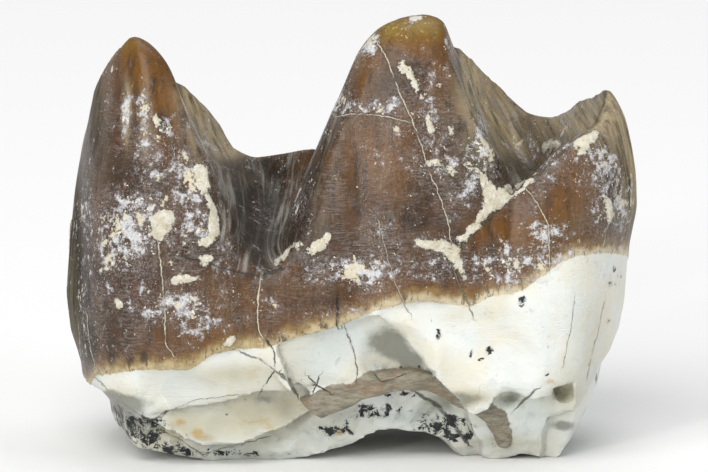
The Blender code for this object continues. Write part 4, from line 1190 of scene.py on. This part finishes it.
def enamel_colour(s, inner):
    """Brown enamel with its stains, painted shade in its hollows, a painted glint, streaks and growth
    lines.
    """
    upright = s.noise("upright grain")
    colour = s.mix(s.patch("cloud", 0.38, 0.64), DEEP_BROWN, BROWN)
    colour = s.lay(colour, RED_BROWN, s.patch("red cloud", 0.5, 0.7), 0.55)
    colour = s.lay(colour, OLIVE_GREY, s.attribute("olive"), s.step(upright, 0.75, 0.35))
    colour = s.lay(colour, DEEP_BROWN, s.step(upright, 0.5, 0.66), 0.75)
    colour = s.lay(colour, AMBER, s.attribute("amber"), s.step(upright, 0.72, 0.42))
    colour = s.lay(colour, YELLOW, s.attribute("yellow"), s.step(upright, 0.8, 0.5))
    threads = s.add(s.times(s.attribute("yellow"), 0.6), 0.12)
    colour = s.lay(colour, OLIVE_TAN, s.patch("threads", 0.55, 0.7), threads)
    # Near black where the dark spots lie: dark stains, and painted shade in the hollows
    dark_stain_and_shade = s.add(s.attribute("dark"), s.ruffle("dark stain and shade", 0.8))
    colour = s.lay(colour, NEAR_BLACK, s.step(dark_stain_and_shade, 0.15, 0.8), 0.85)

    # Grey streaked film on the inner faces, running down along the ridges
    fan = s.combine(s.attribute("fan"), s.times(s.attribute("along"), STREAK_SQUEEZE))
    streak = s.noise("streaks", fan)
    broad = s.noise("broad streaks", fan)
    film = s.times(inner, s.step(s.add(streak, s.times(broad, 0.5)), 0.72, 0.92))
    colour = s.lay(colour, FILM_GREY, film, 0.75)
    colour = s.lay(colour, NEAR_BLACK, inner, s.step(broad, 0.56, 0.42), 0.5)
    pale_streak = s.blend(inner, upright, streak)
    # Pale olive-tan streaks, with a painted glint on the lone cone
    colour = s.lay(colour, OLIVE_TAN, s.attribute("pale"), s.step(pale_streak, 0.7, 0.4), 0.9)

    # Growth lines, as short level scratches
    level = [s.times(s.coordinate(axis), LEVEL_SQUEEZE) for axis in (0, 1)]
    sway = s.add(s.coordinate(2), s.times(s.noise("sway"), 0.5))
    lines = s.noise("growth lines", s.combine(*level, sway))
    patch = s.times(s.patch("lined patches", 0.38, 0.58), s.step(inner, 0.6, 0.1), clouded(s))
    colour = s.lay(colour, SCRATCH_GREY, s.step(lines, 0.46, 0.66), patch, 0.4)
    return colour, s.times(lines, patch), film


def enamel_edge(s, colour, rise):
    """Pale band that runs along the lower edge of the enamel, with short dark hairs across it."""
    ragged = s.add(rise, s.ruffle("band edge", 0.8))
    colour = s.lay(colour, AMBER, s.step(ragged, 1.2, 0.3), 0.6)
    colour = s.lay(colour, EDGE_BROWN, s.step(ragged, 0.7, 0.25), 0.8)
    band = s.mix(s.step(s.coordinate(0), -5.0, 5.0), EDGE_YELLOW, EDGE_PALE)
    colour = s.mix(s.step(ragged, 0.42, 0.02), colour, band)
    hairs = s.times(s.patch("hairs", 0.56, 0.66), 0.6)
    marks = s.times(s.patch("marks", 0.6, 0.68), 0.75)
    colour = s.lay(colour, DEEP_BROWN, s.math("MAXIMUM", hairs, marks), s.step(ragged, 0.9, 0.15))
    # Deep brown where the dark spots are strongest, partly painted shade
    return s.lay(colour, DEEP_BROWN, s.step(s.attribute("dark"), 0.3, 0.9), 0.8)


def add_bloom(s, colour):
    """Whitish bloom: a thin haze, clusters of fine specks, single pale flecks and dark pits, with a
    painted glint on the lone cone.
    """
    density = s.times(s.patch("bloom patches", 0.42, 0.72), 0.5)
    # The deposit spots thicken the bloom, and on the lone cone they lay a painted glint
    density = s.add(s.times(s.attribute("deposit_and_glint"), 0.9), density)
    fine = s.noise("fine bloom")
    haze = s.step(s.add(fine, s.times(density, 0.14)), 0.5, 0.72)
    colour = s.lay(colour, HAZE_VIOLET, haze, clouded(s), 0.42)
    frost = s.times(s.patch("frost", 0.54, 0.62), s.step(density, -0.1, 0.6))
    colour = s.lay(colour, FROST_GREY, frost, clouded(s), 0.5)
    bloom = s.add(s.add(fine, s.times(s.noise("coarse bloom"), 0.3)), s.times(density, 0.2))
    grain = s.add(s.times(s.patch("bloom grain", 0.34, 0.5), 0.6), 0.4)
    bloom = s.times(s.step(bloom, 0.8, 0.92), grain)
    colour = s.lay(colour, FILM_BLUE, bloom, 0.92)
    fleck = s.step(s.add(s.noise("flecks"), s.times(density, 0.11)), 0.69, 0.74)
    colour = s.lay(colour, CRUST_PALE, fleck, 0.95)
    crumb = s.step(s.add(s.noise("crumbs"), s.times(density, 0.13)), 0.69, 0.72)
    colour = s.lay(colour, CRUST_BEIGE, crumb, 0.85)
    colour = s.lay(colour, NEAR_BLACK, s.patch("pits", 0.38, 0.31), 0.8)
    return colour, s.math("MAXIMUM", s.math("MAXIMUM", bloom, fleck), crumb)


def root_colour(s):
    """White root with creamy and grey areas, painted shade in its hollows and creases, edges lightened
    partly by painted highlight, black dendrites and the brown strip.
    """
    root = s.mix(s.patch("warm root", 0.38, 0.66), CHALK_WHITE, CHALK_WARM)
    tone = s.cells(*CELLS)
    height = s.coordinate(2)
    broken = s.step(height, 5.0, 2.6)
    root = s.lay(root, CREAM, s.step(tone, 0.5, 0.8), broken, 0.4)
    root = s.lay(root, FILM_GREY, s.step(tone, 0.42, 0.2), broken, 0.2)
    root = s.lay(root, FRESH_WHITE, s.attribute("fresh"), 0.85)
    cream = s.attribute("cream")
    root = s.mix(cream, root, CREAM)
    root = s.lay(root, LOBE_TAN, s.patch("veins", 0.56, 0.68), cream, 0.6)
    # Grey root laid by the grey spots, partly painted shade in the hollows and under overhangs
    shade = s.add(s.attribute("grey"), s.ruffle("shade", 0.5))
    root = s.lay(root, GREY_ROOT, s.step(shade, 0.28, 0.6), 0.75)
    stain = s.add(s.attribute("stain"), s.ruffle("stains", 0.8))
    root = s.lay(root, LOBE_TAN, s.step(stain, 0.3, 0.8), 0.8)
    root = s.lay(root, BASE_GREY, s.step(s.add(height, s.ruffle("grey foot", 1.6)), 2.6, 0.2), 0.12)
    # Lighter along the convex edges: partly painted highlight, partly the bright chips of the breaks
    root = s.lay(root, CHALK_WHITE, s.attribute("arris"), 0.5)
    # Painted shade in the creases, broken into patches, partly dirt
    root = s.lay(root, CREASE_SHADE_BROWN, s.attribute("crease"), s.patch("crease dirt and shade", 0.36, 0.56), 0.7)
    density = s.attribute("dendrite")
    branch = s.add(s.noise("branches"), s.times(density, 0.27))
    root = s.lay(root, GREY_ROOT, s.step(branch, 0.66, 0.78), density, 0.35)
    root = s.mix(s.step(branch, 0.755, 0.78), root, DENDRITE_BLACK)
    root = s.lay(root, GREY_ROOT, s.patch("dust", 0.74, 0.8), 0.5)
    strip = s.mix(s.patch("strip fibre", 0.38, 0.66), STRIP_BROWN, STRIP_PALE)
    strip = s.lay(strip, STRIP_ORANGE, s.patch("strip patches", 0.5, 0.68), 0.5)
    strip_edge = s.add(s.attribute("strip"), s.ruffle("strip edge", 0.1))
    return s.mix(s.step(strip_edge, 0.06, 0.02), root, strip)


def crust_colour(s):
    """Pale beige sediment with darker specks."""
    crust = s.mix(s.patch("crust tone", 0.35, 0.65), CRUST_BEIGE, CRUST_PALE)
    return s.lay(crust, CRUST_DARK, s.patch("crust specks", 0.54, 0.7), 0.7)


def add_cracks_and_shadow_lines(s, colour, layer):
    """Fine cracks and painted shadow lines: the pale ones hold sediment, the dark ones are open cracks,
    two of them painted shadow.
    """
    away = s.math("ABSOLUTE", s.add(s.attribute(layer + "_side"), s.ruffle("crack wobble", 0.2)))
    widths = s.math("DIVIDE", away, s.math("MAXIMUM", s.attribute(layer + "_width"), 0.01))
    near = s.attribute(layer + "_near")
    line = s.times(s.step(widths, 1.7, 0.5), near, s.patch("crack gaps", 0.3, 0.5))
    border = s.times(s.step(widths, 5.0, 1.0), near, s.step(s.attribute("rise"), 0.0, 0.1))
    filling = s.mix(s.attribute(layer + "_dark"), CRUST_BEIGE, DENDRITE_BLACK)
    colour = s.lay(colour, NEAR_BLACK, border, 0.3)
    return s.lay(colour, filling, line, 0.85), line


def tooth_material():
    s = Shader("fossil_tooth")
    rise = s.attribute("rise")
    inner = s.attribute("inner")
    olive = s.attribute("olive")
    colour, lines, film = enamel_colour(s, inner)
    colour = enamel_edge(s, colour, rise)
    colour, bloom = add_bloom(s, colour)
    worn = s.step(s.attribute("worn"), 0.25, 0.8)
    colour = s.lay(colour, OLIVE_TAN, worn, s.patch("worn ridge", 0.4, 0.6), 0.4)
    root_share = s.step(s.add(rise, s.ruffle("root edge", 0.22)), 0.03, -0.05)
    colour = s.mix(root_share, colour, root_colour(s))
    colour, groove = add_cracks_and_shadow_lines(s, colour, "crack_and_shadow")
    colour, crossing = add_cracks_and_shadow_lines(s, colour, "crossing")
    groove = s.math("MAXIMUM", groove, crossing)
    crust_share = s.step(s.add(s.attribute("crust"), s.ruffle("crust edge", 0.9)), 0.03, -0.03)
    s.join(s.mix(crust_share, colour, crust_colour(s)), s.surface.inputs["Base Color"])

    least, more = ENAMEL_GLOSS
    gloss = s.add(s.times(s.noise("gloss"), more), least)
    coats = [(s.times(olive, 0.75), OLIVE_GLOSS), (s.times(bloom, 0.8), BLOOM_GLOSS),
             (root_share, ROOT_GLOSS), (crust_share, CRUST_GLOSS)]
    for share, coat_gloss in coats:
        gloss = s.blend(share, gloss, coat_gloss)
    s.join(gloss, s.surface.inputs["Roughness"])
    s.join(s.blend(olive, GLOSSY_LEVEL, OLIVE_LEVEL), s.surface.inputs["Specular IOR Level"])
    s.surface.inputs["IOR"].default_value = 1.5
    s.surface.inputs["Metallic"].default_value = 0.0

    relief = s.times(lines, LINE_RELIEF)
    grains = s.times(crust_share, s.add(s.noise("crust relief"), 0.4))
    heights = [(s.noise("fine relief"), FINE_RELIEF), (film, FILM_RELIEF), (bloom, BLOOM_RELIEF),
               (grains, CRUST_RELIEF), (groove, CRACK_RELIEF)]
    for share, height in heights:
        relief = s.add(relief, s.times(share, height))
    bump = s.node("ShaderNodeBump", {"Distance": MM, "Height": relief})
    s.join(bump.outputs["Normal"], s.surface.inputs["Normal"])
    return s.material


def raise_relief(points, normals, crust, worn, rise, push):
    """Chipped ridges, swells, the enamel's edge, the sediment and the rough base, along the normals."""
    x, y, z = points.T
    chips = smooth_step(rough(x, y, z, *LUMPS["chips"]), 0.0, 0.7) * smooth_step(z, *CHIPS_FROM)
    chips = chips * (1 - (1 - LONE_CHIPS) * smooth_step(-x, *LONE_CONE))
    relief = push - CHIP_DEPTH * chips * worn
    relief = relief + ENAMEL_SWELLS * rough(x, y, z, *LUMPS["enamel"]) * (rise > 0)
    relief = relief + ENAMEL_STEP * smooth_step(rise, *ENAMEL_STEP_RANGE)
    lumps = 0.5 + 0.5 * rough(x, y, z, *LUMPS["crust"])
    relief = relief + smooth_step(-crust, *CRUST_RANGE) * (CRUST_THICKNESS + CRUST_LUMPS * lumps)
    low = smooth_step(z, *BASE_ROUGH_BELOW) * smooth_step(z, *BASE_ROUGH_ABOVE)
    relief = relief + BASE_ROUGHNESS * low * rough(x, y, z, *LUMPS["base"])
    raised = points + normals * relief[:, None]
    raised[:, 2] = np.maximum(raised[:, 2], 0)
    return raised


def unseen_strengths(x, y, z):
    """How strong each kind of spot is on the sides that the photo leaves out."""
    patch = smooth_step(rough(x, y, z, *LUMPS["patches"]), -0.3, 0.7)
    other_patch = smooth_step(rough(x, y, z, *LUMPS["other patches"]), -0.2, 0.8)
    return {
        "amber": 0.6 * patch + 0.7 * smooth_step(z, 12.5, 15.0),
        "yellow": 0.5 * smooth_step(z, 14.6, 15.8),
        "dark": 0.45 * other_patch,
        "pale": 0.5 * smooth_step(z, 11.5, 14.0) * other_patch,
        "olive": 0.4 * patch,
        "deposit_and_glint": 0.8 * other_patch,
        "dendrite": 0.75 * other_patch * smooth_step(-z, -4.0, -1.5),
        "grey": 0.6 * patch,
        "cream": 0.7 * other_patch,
        "stain": 0.4 * patch * other_patch,
        "fresh": 0.7 * (1 - patch),
    }


def crack_and_shadow_values(x, z, up, seen, cheek):
    """What the material needs of each layer of cracks and painted shadow lines, by the name of its
    attribute.
    """
    values = {}
    back = crack_lines(x, z, CHEEK_CRACKS)
    for layer, table in (("crack_and_shadow", CRACKS_AND_SHADOW_LINES), ("crossing", CROSSING_CRACKS_AND_SHADOW_LINES)):
        placed = [(photo_points(pixels), *rest) for pixels, *rest in table]
        front = crack_lines(x, up, placed)
        for name, on_front, on_cheek in zip(("side", "width", "dark"), front, back):
            values[layer + "_" + name] = np.where(cheek > 0, on_cheek, on_front)
        values[layer + "_near"] = front[3] * seen + back[3] * cheek
    return values


def tooth_skin():
    """Points and faces of the tooth's skin, softened above its breaks."""
    xs = np.arange(-HALF_LENGTH - GRID_MARGIN, HALF_LENGTH + GRID_MARGIN, GRID_STEP)
    ys = np.arange(-HALF_DEPTH - GRID_MARGIN, HALF_DEPTH + GRID_MARGIN, GRID_STEP)
    zs = np.arange(GRID_LIFT - GRID_MARGIN, TOTAL_HEIGHT + GRID_MARGIN, GRID_STEP)
    field = tooth_field(xs, ys, zs)
    crown = smooth_step(zs, *SOFT_HEIGHTS)
    field = part_diagonals(field * (1 - crown) + soften(field) * crown)
    return skin(field, np.array([xs[0], ys[0], zs[0]]), GRID_STEP)


def enamel_rise(x, y, z, up):
    """Height over the lower edge of the enamel."""
    behind = smooth_step(y, *BEHIND)
    rise = (1 - behind) * (up - read_profile(x, photo_points(ENAMEL_EDGE_SEEN)))
    return rise + behind * (z - read_profile(x, ENAMEL_EDGE_BEHIND))


def make_tooth():
    points, faces = tooth_skin()
    mesh = make_mesh("tooth_skin", points, faces)
    normals = normals_of(mesh)
    x, y, z = points.T
    up = y * VIEW_UP[1] + z * VIEW_UP[2]
    seen = seen_points(points, normals, faces)

    # Height over the enamel's edge, the inner faces, and the distance to the sediment
    rise = enamel_rise(x, y, z, up)
    in_basin = inside(x, y, ridge_loop(BACK_BASIN_RIDGES)) | inside(x, y, ridge_loop(FRONT_BASIN_RIDGES))
    inner = spread((in_basin & (z > INNER_ABOVE)).astype(float), faces, 2)
    chains = [[photo_point(a, b) + (radius / PIXELS_PER_MM,) for a, b, radius in chain] for chain in CRUST]
    crust = chain_distance(np.column_stack([x, up]), chains) + CRUST_APART * (1 - seen)
    crust = np.minimum(crust, chain_distance(points, CRUST_BEHIND) + CRUST_APART * seen)

    # Where the skin bends out or in
    bend = np.einsum("ij,ij->i", neighbour_mean(spread(points, faces, 6), faces) - points, normals)
    worn = spread(np.clip(-bend * WEAR, 0, 1), faces, 2)
    sharp_bend = np.einsum("ij,ij->i", spread(points, faces, 3) - points, normals)

    away, side = line_distance(x, up, photo_points(BUTTRESS_LINE))
    push = -BUTTRESS_STEP * (side < 0) * np.exp(-away / BUTTRESS_WIDTH) * seen
    raised = raise_relief(points, normals, crust, worn, rise, push)
    middle = (raised.min(axis=0) + raised.max(axis=0)) / 2
    middle[2] = 0
    mesh.vertices.foreach_set("co", ((raised - middle) * MM).astype(np.float32).ravel())
    mesh.update()
    mesh.set_sharp_from_angle(angle=SHARP_ANGLE)

    fan, along = ridge_fan(x, up)
    cheek = smooth_step(y, *CHEEK) * (1 - inner)
    values = {
        "rise": rise, "inner": inner, "worn": worn, "crust": crust, "fan": fan, "along": along,
        "crease": smooth_step(sharp_bend, *SHARP_BENDS), "arris": smooth_step(-sharp_bend, *SHARP_BENDS),
        "strip": strip_distance(x, y, z),
    }
    values.update(crack_and_shadow_values(x, z, up, seen, cheek))
    unseen = unseen_strengths(x, y, z)
    for name, table in SPOTS.items():
        strength = np.minimum(1, SPOT_GAIN.get(name, 1.0) * spots(x, up, table))
        values[name] = strength * seen + unseen[name] * (1 - seen)
    for name, value in values.items():
        set_attribute(mesh, name, value)
    mesh.materials.append(tooth_material())
    return add_object("tooth_skin", mesh), middle


def make_camera(middle):
    up = Vector(VIEW_UP)
    right = Vector((1.0, 0.0, 0.0))
    back = right.cross(up)
    across, rise = photo_point(PHOTO_WIDTH / 2, PHOTO_HEIGHT / 2)
    target = (right * (across - middle[0]) + up * rise) * MM
    data = bpy.data.cameras.new("photo_camera")
    data.sensor_width = SENSOR_MM
    data.lens = SENSOR_MM * CAMERA_DISTANCE / (PHOTO_WIDTH / PIXELS_PER_MM * MM)
    data.clip_start = NEAREST_SEEN
    camera = add_object("photo_camera", data)
    turn = Matrix((right, up, back)).transposed().to_4x4()
    camera.matrix_world = Matrix.Translation(target + back * CAMERA_DISTANCE) @ turn
    bpy.context.scene.camera = camera


def make_light(name, place, size, power, colour):
    data = bpy.data.lights.new(name, "AREA")
    data.shape = "RECTANGLE"
    data.size, data.size_y = size
    data.energy = power
    data.color = colour
    light = add_object(name, data)
    light.location = place
    aim = Vector(AIM) - Vector(place)
    light.rotation_euler = aim.to_track_quat("-Z", "Y").to_euler()


def make_studio():
    world = bpy.data.worlds.new("studio")
    world.use_nodes = True
    background = world.node_tree.nodes["Background"]
    background.inputs["Color"].default_value = (1.0, 1.0, 1.0, 1.0)
    background.inputs["Strength"].default_value = WORLD_STRENGTH
    bpy.context.scene.world = world
    bpy.context.scene.view_settings.view_transform = "Standard"
    for light in LIGHTS:
        make_light(*light)

    paint = bpy.data.materials.new("floor_paint")
    paint.use_nodes = True
    surface = paint.node_tree.nodes["Principled BSDF"]
    surface.inputs["Base Color"].default_value = FLOOR_COLOUR
    surface.inputs["Roughness"].default_value = FLOOR_GLOSS
    data = bpy.data.meshes.new("floor")
    corners = [(x * FLOOR_HALF, y * FLOOR_HALF, 0) for x, y in ((-1, -1), (1, -1), (1, 1), (-1, 1))]
    data.from_pydata(corners, [], [(0, 1, 2, 3)])
    data.materials.append(paint)
    floor = add_object("floor", data)


tooth, middle = make_tooth()
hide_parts("tooth")
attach(tooth, "root")
make_camera(middle)
make_studio()
